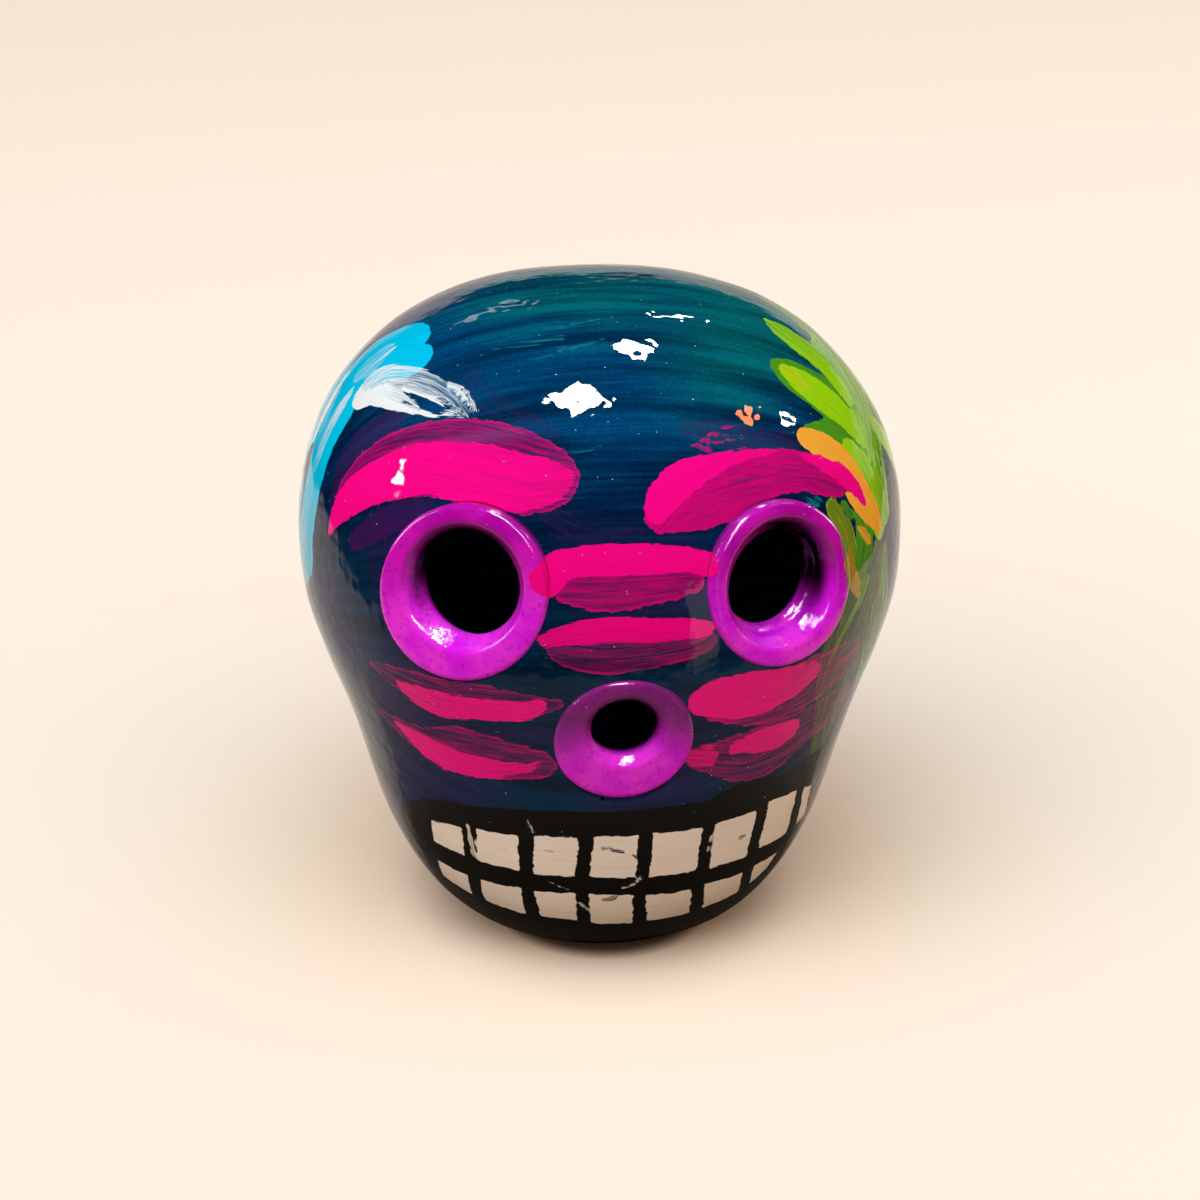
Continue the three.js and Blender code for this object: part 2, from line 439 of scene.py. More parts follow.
def makeHalf(name, whole, forward, cadNode):
    half = bmesh.new()
    half.from_mesh(whole)
    away = [face for face in half.faces if (face.calc_center_median().y < seamPlace) != forward]
    bmesh.ops.delete(half, geom=away, context="FACES")
    seam = [edge for edge in half.edges if edge.is_boundary]
    bmesh.ops.bridge_loops(half, edges=seam)
    smooth = half.verts.layers.float_vector["smoothNormal"]
    normals = [Vector(corner[smooth]) for corner in half.verts]
    mesh = bpy.data.meshes.new(name)
    half.to_mesh(mesh)
    openEdges = sum(edge.is_boundary for edge in half.edges)
    half.free()
    mesh.shade_smooth()
    mesh.normals_split_custom_set_from_vertices(normals)
    print(name, "has", len(mesh.vertices), "points and", openEdges, "open edges")
    return keepPiece(mesh, name, cadNode)


wholeHead = cutHead()
faceHalf = makeHalf("front_shell_painted", wholeHead, True, "front_shell")
backHalf = makeHalf("back_shell_painted", wholeHead, False, "back_shell")


# Brush paint. A stroke has the load of paint at its start and end, and a row of picture pixels with half
# widths. Where the picture doesn't reach, it is a row of turns and rises in degrees, seen from the middle
# of the head, with half widths in millimetres.

paint = {
    "curveSteps": 4,
    "beyond": 3.0,          # mm round a stroke over which its pattern is still known
    "bristleShift": 23.7,   # mm from one stroke's bristle pattern to the next
    "middleHeight": 42 * mm,
    "cornerSharpness": 14.0,   # of the teeth
    "uprightLean": 0.2,     # how far the upright base strokes on the flanks lean
}


def brush(load, *points):
    return {"load": load, "points": points}


purpleWashes = [
    brush((0.5, 0.4), (398, 418, 8), (372, 436, 13), (350, 462, 12), (338, 492, 8)),
    brush((0.8, 0.5), (356, 540, 10), (385, 522, 14), (420, 508, 12)),
    brush((0.13, 0.1), (470, 376, 8), (485, 400, 12), (520, 418, 10), (552, 432, 6)),
    brush((0.25, 0.4), (684, 430, 6), (715, 432, 12), (750, 440, 14), (790, 447, 12)),
    brush((0.14, 0.14), (545, 515, 10), (585, 535, 12), (640, 536, 10)),
    brush((0.3, 0.3), (385, 700, 8), (430, 728, 10), (500, 737, 9), (545, 735, 8)),
]
tealStreaks = [
    brush((0.35, 0.7), (548, 328, 1), (572, 325, 1.5), (598, 320, 1)),
    brush((0.3, 0.5), (556, 350, 1), (578, 346, 1.5), (602, 339, 1)),
    brush((0.25, 0.35), (516, 364, 1), (545, 358, 1.5), (572, 350, 1.5)),
    brush((0.12, 0.2), (486, 345, 3), (525, 341, 5), (560, 338, 3)),
    brush((0.15, 0.2), (562, 452, 2), (580, 450, 3), (600, 446, 2)),
    brush((0.35, 0.4), (806, 498, 3), (818, 504, 5)),
]
cyanPetals = [
    brush((1, 1), (350, 386, 7), (362, 370, 12), (377, 359, 14), (389, 352, 15), (397, 349, 14)),
    brush((1, 0.9), (372, 368, 10), (392, 362, 13), (411, 361, 14)),
    brush((1, 0.7), (350, 390, 9), (338, 410, 11), (327, 433, 9.5), (317, 463, 8), (309, 500, 6.5),
          (305, 540, 5), (304, 565, 3)),
]
whiteLines = [
    brush((0.6, 0.2), (372, 386, 10), (388, 378, 9), (412, 378, 9), (434, 385, 8), (452, 396, 6.5),
          (468, 413, 4)),
    brush((0.9, 0.7), (440, 387, 2), (452, 389, 3.5), (462, 396, 3), (470, 407, 2)),
    brush((1, 0.9), (366, 392, 9), (376, 388, 10), (388, 386, 8)),
    brush((1, 0.6), (368, 396, 9), (390, 404, 5), (412, 410, 3.5), (432, 415, 2), (452, 414, 2),
          (465, 415, 2)),
    brush((1, 0.5), (372, 392, 9), (390, 393, 7), (404, 398, 4), (418, 407, 1.2)),
    brush((0.8, 0.6), (398, 387, 2), (420, 393, 2), (440, 402, 2), (456, 413, 1.5)),
    brush((0.5, 0.45), (450, 383, 1.2), (464, 388, 1.5), (472, 398, 1.5), (476, 411, 1.2)),
    brush((0.55, 0.25), (350, 393, 1.5), (340, 408, 3), (330, 426, 3.5), (322, 445, 3), (315, 465, 2)),
    brush((0.3, 0.2), (360, 374, 3), (373, 362, 6), (384, 353, 4)),
]
darkLeaves = [
    brush((0.9, 0.9), (783, 369, 8), (796, 377, 13), (812, 387, 14.5), (828, 397, 14.5),
          (842, 409, 12), (855, 423, 8)),
    brush((0.9, 0.8), (808, 429, 4), (825, 429, 8), (842, 435, 11), (856, 447, 12), (866, 461, 9)),
    brush((0.9, 0.8), (856, 503, 3), (864, 525, 8), (864, 552, 8), (860, 580, 5)),
    brush((0.8, 0.7), (843, 503, 3), (850, 514, 4)),
]
limeLeaves = [
    brush((0.7, 1), (767, 320, 1), (782, 331, 5.5), (798, 343, 7), (813, 355, 7), (828, 369, 6.5),
          (841, 385, 6), (850, 400, 4)),
    brush((1, 0.9), (787, 371, 5), (798, 379, 9), (812, 389, 11), (826, 399, 11), (840, 411, 9),
          (852, 424, 7), (860, 437, 4)),
    brush((0.5, 0.7), (778, 306, 2), (805, 324, 4), (828, 347, 5), (846, 374, 6), (860, 402, 7),
          (870, 432, 8), (878, 468, 7), (884, 510, 5)),
    brush((0.9, 0.8), (852, 453, 8), (864, 474, 11), (873, 499, 9), (879, 524, 6)),
    brush((0.7, 0.7), (832, 506, 6), (841, 522, 8), (848, 542, 8), (851, 563, 6), (851, 582, 3)),
    brush((0.6, 0.45), (866, 580, 3), (859, 601, 2.5), (848, 624, 2), (838, 645, 2), (829, 664, 1)),
    brush((0.35, 0.3), (885, 550, 2), (881, 600, 5), (873, 640, 5), (862, 680, 5), (850, 715, 4),
          (834, 752, 1)),
]
orangePetals = [
    brush((1, 0.85), (806, 438, 8.5), (818, 444, 11), (832, 453, 11.5), (845, 464, 10.5),
          (855, 477, 8), (864, 492, 7), (872, 509, 6), (878, 524, 4)),
    brush((0.13, 0.1), (784, 366, 2), (794, 376, 4), (802, 387, 3)),
    brush((0.95, 0.8), (848, 495, 3), (854, 500, 5), (862, 508, 6), (872, 521, 4)),
    brush((0.5, 0.6), (838, 517, 1), (847, 537, 1.5), (853, 560, 1.5)),
    brush((0.9, 0.8), (843, 556, 3), (849, 570, 6), (855, 584, 5), (858, 594, 2)),
    brush((0.6, 0.6), (860, 529, 3), (868, 539, 4)),
]
olivePetals = [
    brush((0.7, 0.6), (834, 508, 7), (844, 530, 9), (850, 558, 8), (849, 584, 5)),
    brush((0.5, 0.42), (876, 560, 8), (868, 590, 13), (857, 620, 17), (847, 652, 17), (838, 682, 12),
          (828, 715, 8), (817, 748, 4)),
]
pinkWashesAndGlints = [
    brush((0.5, 0.45), (329, 534, 1), (350, 492, 13), (380, 470, 26), (410, 460, 33), (440, 457, 38),
          (470, 459, 41), (500, 466, 43), (530, 475, 39), (548, 479, 30)),
    brush((0.78, 0.7), (664, 514, 20), (676, 502, 30), (695, 494, 36), (720, 487, 35), (745, 479, 30),
          (770, 472, 24), (795, 471, 20), (820, 475, 17.5), (838, 484, 10)),
    brush((0.6, 0.58), (568, 591, 13), (600, 592, 20), (630, 590, 20), (660, 586, 17), (685, 583, 13),
          (698, 582, 8)),
    brush((0.32, 0.35), (558, 652, 10), (580, 656, 15), (610, 658, 16), (640, 656, 14), (670, 652, 12),
          (700, 645, 10), (710, 640, 7)),
    brush((0.2, 0.35), (372, 664, 2), (395, 677, 8), (420, 688, 12), (450, 697, 15), (480, 701, 16),
          (510, 705, 14), (540, 706, 9), (560, 704, 4)),
    brush((0.28, 0.38), (382, 713, 2), (405, 730, 7), (430, 743, 12), (460, 750, 20), (490, 757, 20),
          (520, 762, 16), (540, 764, 13)),
    brush((0.5, 0.28), (715, 708, 12), (745, 706, 17), (775, 697, 20), (805, 684, 18), (830, 670, 13),
          (850, 655, 7)),
    brush((0.4, 0.22), (702, 757, 12), (725, 757, 18), (750, 755, 22), (775, 745, 20), (800, 730, 13),
          (825, 712, 9), (845, 697, 4)),
    # These two thin strokes are painted reflections: the warm lamp's glints in the brushed ridges.
    brush((0.35, 0.5), (692, 447, 1), (706, 438, 1.5), (722, 429, 2), (736, 424, 1)),
    brush((0.4, 0.3), (700, 452, 1), (722, 440, 1.5), (742, 436, 1)),
]
pinkStrokes = [
    brush((1, 0.72), (329, 533, 1), (336, 516, 6), (350, 498, 13), (375, 482, 19), (400, 473, 23),
          (430, 468, 26), (460, 471, 30), (490, 478, 33.5), (515, 483, 30), (538, 483, 25),
          (556, 481, 17)),
    brush((1, 0.8), (657, 512, 12), (664, 498, 17), (680, 480, 18), (700, 470, 14), (720, 462, 9),
          (745, 455, 5), (775, 452, 3)),
    brush((0.8, 1), (800, 455, 1), (812, 459, 4), (826, 465, 6.5), (840, 473, 7.5), (851, 483, 6.5),
          (859, 493, 4.5), (866, 506, 1)),
    brush((1, 0.95), (546, 578, 19), (560, 567, 16), (580, 562, 15.5), (610, 560.5, 16),
          (640, 559.5, 15.5), (670, 559, 14.5), (695, 561, 12.5), (708, 565, 12.5)),
    brush((0.75, 1), (545, 640, 7), (565, 635, 10), (590, 632.5, 13), (620, 630, 13), (650, 630.5, 12),
          (680, 629, 11), (700, 628.5, 9), (708, 629, 7)),
    brush((0.8, 0.85), (396, 682, 1), (408, 690, 5), (425, 699, 9), (447, 706, 11), (475, 709, 10.5),
          (505, 711, 10.5), (528, 711, 9), (540, 706, 7)),
    brush((0.9, 0.7), (396, 723, 1), (408, 732, 4), (424, 745, 8), (444, 757, 10), (468, 765, 10),
          (492, 769, 9), (512, 769, 6), (530, 767, 4), (545, 762, 1)),
    brush((1, 0.7), (703, 701, 13), (720, 698, 19), (745, 696, 21), (770, 690, 18), (795, 681, 12),
          (812, 671, 7)),
    brush((0.75, 0.85), (735, 748, 5), (755, 742, 9), (775, 737, 10), (790, 730, 7)),
    brush((0.6, 0.6), (694, 757, 8), (708, 757, 9)),
]
blackBand = [
    brush((1, 1), (442, 850, 26), (468, 856, 38), (500, 860, 43), (560, 866, 50), (640, 866, 51),
          (720, 853, 45), (770, 836, 46), (800, 825, 47)),
]
# The underside is black all round, up to this height. Both are in millimetres.
blackBase = {"height": 9.5, "radius": 30}

# Places where the tooth paint was scratched or smeared into the lines, and dark specks on the teeth.
toothSmears = [
    brush((0.7, 0.5), (468, 826, 1.5), (471, 840, 2), (474, 856, 1.5)),
    brush((0.5, 0.4), (529, 822, 1.5), (533, 832, 1.5)),
    brush((0.6, 0.4), (550, 882, 0.8), (559, 886, 1), (568, 889, 0.8)),
    brush((0.5, 0.7), (622, 888, 0.8), (634, 884, 1), (642, 876, 1.2)),
    brush((0.7, 0.5), (713, 836, 1.2), (709, 851, 1.5)),
    brush((0.6, 0.6), (580, 903, 1), (589, 910, 1.2)),
]
darkSpecks = [
    brush((0.7, 0.6), (602, 848, 1.5), (610, 847, 2)),
    brush((0.7, 0.7), (613, 851, 1.5), (622, 852, 2)),
    brush((0.8, 0.6), (632, 854, 1), (636, 858, 1.5)),
    brush((0.5, 0.5), (740, 838, 1.5), (744, 836, 1)),
    brush((0.5, 0.6), (603, 900, 1), (612, 899, 2), (617, 895, 1)),
    brush((0.4, 0.4), (545, 850, 1), (552, 851, 1)),
    brush((0.4, 0.4), (500, 846, 1), (503, 849, 1)),
]


# The sides and the back aren't seen: the flower that runs out of sight on each side is carried on round it,
# and a third one is added behind.

# A petal's half width at its root and tip, as shares of its widest, and where along it turns are measured.
petal = {"root": 0.5, "tip": 0.4, "level": 0.7}


def petalsRound(flower, angles, start, end, half, load):
    turn, rise = flower["turn"], flower["rise"]
    made = []
    for angle in angles:
        across, up = math.cos(math.radians(angle)), math.sin(math.radians(angle))
        rows = [(start, half * petal["root"]), ((start * 2 + end) / 3, half),
                ((start + end * 2) / 3, half), (end, half * petal["tip"])]
        points = []
        for far, wide in rows:
            level = math.cos(math.radians(rise + up * far * petal["level"]))
            points.append((turn + across * far / level, rise + up * far, wide))
        made.append({"load": load, "round": True, "points": points})
    return made


leftFlower = {"turn": -84, "rise": 27}
rightFlower = {"turn": 88, "rise": 12}
backFlower = {"turn": 180, "rise": 12}
# Each row of petals: its flower, their angles round it, where they start and end, half width and load.
cyanPetals += petalsRound(leftFlower, (95, 135, 175, 215, 250), 5, 24, 2.6, (1, 0.8))
whiteLines += petalsRound(leftFlower, (115, 155, 195, 232), 4, 17, 0.9, (1, 0.6))
darkLeaves += petalsRound(rightFlower, (60, 100, 250, 290), 8, 34, 2.2, (0.9, 0.8))
limeLeaves += petalsRound(rightFlower, (40, 80, 120, 235, 270, 305), 8, 31, 2.0, (1, 0.8))
orangePetals += petalsRound(rightFlower, (-30, 0, 30), 4, 22, 2.4, (1, 0.8))
pinkStrokes += petalsRound(backFlower, range(0, 360, 45), 5, 22, 2.8, (1, 0.75))
orangePetals += petalsRound(backFlower, range(0, 360, 90), 0, 4, 1.6, (1, 0.9))
whiteLines += petalsRound(backFlower, range(22, 360, 45), 7, 17, 0.7, (0.9, 0.6))
limeLeaves += petalsRound(backFlower, (-12, 12, 168, 192), 26, 50, 2.2, (1, 0.8))
darkLeaves += petalsRound(backFlower, (-30, 30, 150, 210), 26, 44, 2.0, (0.9, 0.8))

# Corners of each tooth, from the upper left one round to the lower left one.
teeth = [
    [(431, 820), (462, 827), (464, 855), (434, 841)],
    [(476, 829), (518, 836), (519, 871), (477, 860)],
    [(534, 836), (579, 837), (575, 876), (533, 874)],
    [(594, 836), (638, 836), (636, 877), (589, 877)],
    [(654, 834), (703, 827), (696, 870), (649, 877)],
    [(716, 823), (757, 810), (746, 856), (709, 868)],
    [(769, 802), (797, 790), (786, 833), (758, 849)],
    [(804, 786), (811, 785), (804, 815), (796, 824)],
    [(438, 860), (467, 875), (472, 894), (442, 874)],
    [(481, 880), (521, 888), (526, 914), (485, 900)],
    [(535, 891), (575, 893), (577, 920), (541, 916)],
    [(589, 894), (633, 895), (632, 923), (591, 923)],
    [(646, 895), (692, 889), (688, 913), (646, 921)],
    [(705, 884), (742, 873), (737, 892), (702, 908)],
    [(754, 866), (778, 851), (767, 867), (749, 884)],
]


def castPixel(x, y):
    eye, aim = pixelRay(x, y)
    return outerTree.ray_cast(eye, aim)[0]


def castRound(turn, rise):
    turn, rise = math.radians(turn), math.radians(rise)
    aim = Vector((math.sin(turn) * math.cos(rise), -math.cos(turn) * math.cos(rise), math.sin(rise)))
    return outerTree.ray_cast(Vector((0, seamPlace, paint["middleHeight"])), aim)[0]


def smoothPath(points):
    rows = np.array(points, float)
    rows = np.vstack([2 * rows[0] - rows[1], rows, 2 * rows[-1] - rows[-2]])
    shares = np.arange(paint["curveSteps"])[:, None] / paint["curveSteps"]
    made = []
    for before, here, there, after in zip(rows, rows[1:], rows[2:], rows[3:]):
        bend = 2 * before - 5 * here + 4 * there - after
        swing = 3 * here - before - 3 * there + after
        made.append(here + ((there - before) * shares + bend * shares ** 2 + swing * shares ** 3) / 2)
    made = np.vstack(made + [rows[-2][None]])
    made[:, 2] = np.maximum(made[:, 2], 0)
    return made


def strokeOnHead(stroke):
    path = smoothPath(stroke["points"])
    heading = np.gradient(path[:, :2], axis=0)
    heading /= np.linalg.norm(heading, axis=1)[:, None] + 1e-9
    middles, halves, shares = [], [], []
    for k, (x, y, half) in enumerate(path):
        if stroke.get("round"):
            middle = castRound(x, y)
            width = half * mm
        else:
            middle = castPixel(x, y)
            right, down = heading[k] * half
            sides = [castPixel(x - side * down, y + side * right) for side in (-1, 1)]
            spans = [(side - middle).length for side in sides if side and middle]
            width = sum(spans) / len(spans) if spans else 0
        if middle is not None:
            middles.append(middle)
            halves.append(width)
            shares.append(k / (len(path) - 1))
    start, end = stroke["load"]
    loads = start + (end - start) * np.array(shares)
    return np.array(middles) / mm, np.array(halves) / mm, loads


def blankLayer(count):
    return {"along": np.zeros(count), "across": np.zeros(count), "load": np.ones(count),
            "edge": np.full(count, -paint["beyond"])}


def putDown(layer, points, found):
    deeper = found["edge"] > layer["edge"][points]
    for key in layer:
        layer[key][points[deeper]] = found[key][deeper]


def layStroke(layer, places, normals, stroke, number):
    middles, halves, loads = stroke["laid"]
    reach = halves.max() + paint["beyond"]
    near = ((places > middles.min(0) - reach) & (places < middles.max(0) + reach)).all(1).nonzero()[0]
    spots, upright = places[near], normals[near]
    found = blankLayer(len(near))
    run = 0.0
    for k in range(len(middles) - 1):
        step = middles[k + 1] - middles[k]
        length = np.linalg.norm(step)
        if length < 1e-6:
            continue
        heading = step / length
        t = np.clip((spots - middles[k]) @ heading / length, 0, 1)
        apart = spots - middles[k] - t[:, None] * step
        edge = halves[k] + t * (halves[k + 1] - halves[k]) - np.linalg.norm(apart, axis=1)
        here = {"edge": edge, "along": number * paint["bristleShift"] + run + t * length + apart @ heading,
                "across": (apart * np.cross(upright, heading)).sum(1),
                "load": loads[k] + t * (loads[k + 1] - loads[k])}
        putDown(found, np.arange(len(near)), here)
        run += length
    putDown(layer, near, found)


def layTooth(layer, places, corners, number):
    spots = np.array([castPixel(*corner) for corner in corners]) / mm
    middle = spots.mean(0)
    across = spots[1] + spots[2] - spots[0] - spots[3]
    down = spots[2] + spots[3] - spots[0] - spots[1]
    outward = np.cross(down, across)
    outward /= np.linalg.norm(outward)
    across /= np.linalg.norm(across)
    rise = np.cross(outward, across)
    reach = np.linalg.norm(spots - middle, axis=1).max() + paint["beyond"]
    near = (np.linalg.norm(places - middle, axis=1) < reach).nonzero()[0]
    flat = np.stack([(places[near] - middle) @ across, (places[near] - middle) @ rise], 1)
    drawn = np.stack([(spots - middle) @ across, (spots - middle) @ rise], 1)
    soft = 0
    for start, end in zip(drawn, np.roll(drawn, -1, 0)):
        side = (end - start) / np.linalg.norm(end - start)
        inward = (flat - start) @ np.array([side[1], -side[0]])
        soft = soft + np.exp(np.clip(-inward * paint["cornerSharpness"], -40, 40))
    edge = -np.log(soft) / paint["cornerSharpness"]
    putDown(layer, near, {"edge": edge, "along": flat[:, 0] + number * paint["bristleShift"],
                          "across": flat[:, 1], "load": np.ones(len(near))})


def layBlackBase(layer, places):
    turns = np.arctan2(places[:, 0], -places[:, 1]) * blackBase["radius"]
    found = {"edge": blackBase["height"] - places[:, 2], "along": turns, "across": places[:, 2],
             "load": np.ones(len(places))}
    putDown(layer, np.arange(len(places)), found)


def storeLayer(mesh, name, layer):
    field = mesh.attributes.new(name + "Field", "FLOAT_VECTOR", "POINT")
    field.data.foreach_set("vector", np.stack([layer["along"], layer["across"], layer["edge"]], 1).ravel())
    load = mesh.attributes.new(name + "Load", "FLOAT", "POINT")
    load.data.foreach_set("value", layer["load"])


# The coats in the order in which they were painted.
coats = {
    "purple": purpleWashes,
    "teal": tealStreaks,
    "cyan": cyanPetals,
    "darkLeaf": darkLeaves,
    "lime": limeLeaves,
    "orange": orangePetals,
    "olive": olivePetals,
    # the pink wash coat also carries two painted reflections of the warm lamp
    "pinkWash": pinkWashesAndGlints,
    "pink": pinkStrokes,
    "white": whiteLines,
    "black": blackBand,
    "tooth": toothSmears,
    "speck": darkSpecks,
}
ringCoats = ["orange", "olive", "pink"]


def layCoats(mesh, names):
    places, normals = readPlaces(mesh) / mm, readNormals(mesh)
    for name in names:
        layer = blankLayer(len(places))
        for number, stroke in enumerate(coats[name]):
            layStroke(layer, places, normals, stroke, number)
        if name == "black":
            layBlackBase(layer, places)
        if name == "tooth":
            for number, corners in enumerate(teeth):
                layTooth(layer, places, corners, number)
        storeLayer(mesh, name, layer)


def laySweep(mesh):
    places = readPlaces(mesh) - np.array((0, seamPlace, paint["middleHeight"]))
    size = np.linalg.norm(places, axis=1)
    over = np.arctan2(places[:, 1], places[:, 2])
    level = np.arccos(np.clip(places[:, 0] / size, -1, 1))
    reach = head["halfWidth"] / mm
    sweep = mesh.attributes.new("sweep", "FLOAT_VECTOR", "POINT")
    rows = np.stack([level * reach, over * reach, np.zeros(len(size))], 1)
    sweep.data.foreach_set("vector", rows.ravel())
    turns = np.arctan2(places[:, 0], np.abs(places[:, 1]))
    upright = mesh.attributes.new("upright", "FLOAT_VECTOR", "POINT")
    rise = places[:, 2] / mm
    rows = np.stack([turns * reach + rise * paint["uprightLean"], rise, np.sign(places[:, 1])], 1)
    upright.data.foreach_set("vector", rows.ravel())


for strokes in coats.values():
    for stroke in strokes:
        stroke["laid"] = strokeOnHead(stroke)
for piece in (faceHalf, backHalf):
    layCoats(piece.data, list(coats))
    laySweep(piece.data)
for piece in ringPieces.values():
    layCoats(piece.data, ringCoats)
print("paint laid:", sum(len(strokes) for strokes in coats.values()), "strokes and", len(teeth), "teeth")


# Finishes.

class Wires:
    def __init__(self, tree):
        self.tree = tree

    def put(self, socket, value):
        if isinstance(value, bpy.types.NodeSocket):
            self.tree.links.new(value, socket)
        else:
            socket.default_value = value

    def add(self, kind, values=None, **settings):
        made = self.tree.nodes.new("ShaderNode" + kind)
        for key, value in settings.items():
            setattr(made, key, value)
        for key, value in (values or {}).items():
            self.put(made.inputs[key], value)
        return made

    def calc(self, operation, first, second=0.0, third=0.0, clamp=False):
        made = self.add("Math", {0: first, 1: second, 2: third}, operation=operation, use_clamp=clamp)
        return made.outputs[0]

    def ease(self, value, low, high, fromValue=0.0, toValue=1.0):
        values = {0: value, 1: low, 2: high, 3: fromValue, 4: toValue}
        return self.add("MapRange", values, interpolation_type="SMOOTHSTEP").outputs[0]

    def mix(self, share, first, second, blend="MIX"):
        made = self.add("Mix", {0: share, 6: first, 7: second}, data_type="RGBA", blend_type=blend)
        return made.outputs[2]

    def noise(self, place, scale=1.0, detail=2.0, roughness=0.5):
        values = {"Vector": place, "Scale": scale, "Detail": detail, "Roughness": roughness}
        return self.add("TexNoise", values).outputs["Fac"]

    def stretch(self, place, scale):
        return self.add("Mapping", {"Vector": place, "Scale": scale}).outputs[0]

    def parts(self, vector):
        return self.add("SeparateXYZ", {0: vector}).outputs

    def attribute(self, name):
        return self.add("Attribute", attribute_name=name).outputs


def linear(part):
    return ((part / 255 + 0.055) / 1.055) ** 2.4 if part > 10 else part / 255 / 12.92


def tint(red, green, blue):
    return (linear(red), linear(green), linear(blue), 1)


def newMaterial(name):
    material = bpy.data.materials.new(name)
    material.use_nodes = True
    material.node_tree.nodes.clear()
    return material, Wires(material.node_tree)


# What each coat's paint and brush are like. Shade is the colour of its thin places, rim how much more
# paint lies along its edge, ragged how far its edge wanders in mm, and streak how much its load varies.
coatLooks = {
    "purple": {"paint": tint(62, 20, 88), "shade": tint(40, 24, 84),
               "ragged": 1.0, "streak": 0.9, "fray": 1.5, "rim": 0.0},
    "teal": {"paint": tint(30, 145, 155), "shade": tint(6, 100, 125),
             "ragged": 0.6, "streak": 1.5, "fray": 1.5, "rim": 0.0},
    "cyan": {"paint": tint(2, 204, 250), "shade": tint(2, 170, 224),
             "ragged": 0.25, "streak": 1.0, "fray": 2.5, "rim": 0.1},
    "darkLeaf": {"paint": tint(80, 160, 34), "shade": tint(26, 94, 28),
                 "ragged": 0.4, "streak": 1.3, "fray": 3, "rim": 0.1},
    "lime": {"paint": tint(158, 224, 20), "shade": tint(88, 162, 12),
             "ragged": 0.35, "streak": 1.3, "fray": 3, "rim": 0.1},
    "orange": {"paint": tint(255, 182, 62), "shade": tint(236, 148, 34),
               "ragged": 0.3, "streak": 1.1, "fray": 3, "rim": 0.1},
    "olive": {"paint": tint(118, 130, 34), "shade": tint(56, 92, 30),
              "ragged": 0.5, "streak": 1.2, "fray": 3, "rim": 0.0},
    "pinkWash": {"paint": tint(222, 4, 128), "shade": tint(108, 16, 112),
                 "ragged": 0.45, "streak": 0.95, "fray": 0.8, "rim": 0.3},
    "pink": {"paint": tint(255, 8, 147), "shade": tint(240, 4, 133),
             "ragged": 0.3, "streak": 1.2, "fray": 5, "rim": 0.1},
    "white": {"paint": tint(240, 249, 254), "shade": tint(160, 215, 245),
              "ragged": 0.25, "streak": 1.5, "fray": 3, "rim": 0.1},
    "black": {"paint": tint(13, 12, 9), "shade": tint(22, 20, 16),
              "ragged": 0.25, "streak": 0.5, "fray": 1, "rim": 0.0},
    "tooth": {"paint": tint(253, 244, 232), "shade": tint(226, 216, 200),
              "ragged": 0.36, "streak": 0.5, "fray": 1, "rim": 0.0},
    "speck": {"paint": tint(40, 34, 30), "shade": tint(90, 78, 68),
              "ragged": 0.3, "streak": 1.5, "fray": 1, "rim": 0.0},
}


brushwork = {
    "streaks": (0.09, 2.2, 1),   # waves per mm along and across a stroke
    "hairs": (0.3, 8.0, 1),
    "softEdge": 0.06,            # mm
    "rimWidth": 0.5,             # mm
    "wander": 850.0,             # noise scale per metre of the ragged edges
    "coatShift": 7.3,            # from one coat's bristle pattern to the next
    "hairShare": 0.45,           # of the hairs in the bristle pattern, beside the broader streaks
    "leastFray": 0.5,
    "fill": 1.15,                # how well a full load covers
    "streakRise": 3.0,           # streaks show more where the load is thin
    "leastStreak": 0.35,
    "toneSpread": 2.5,
}


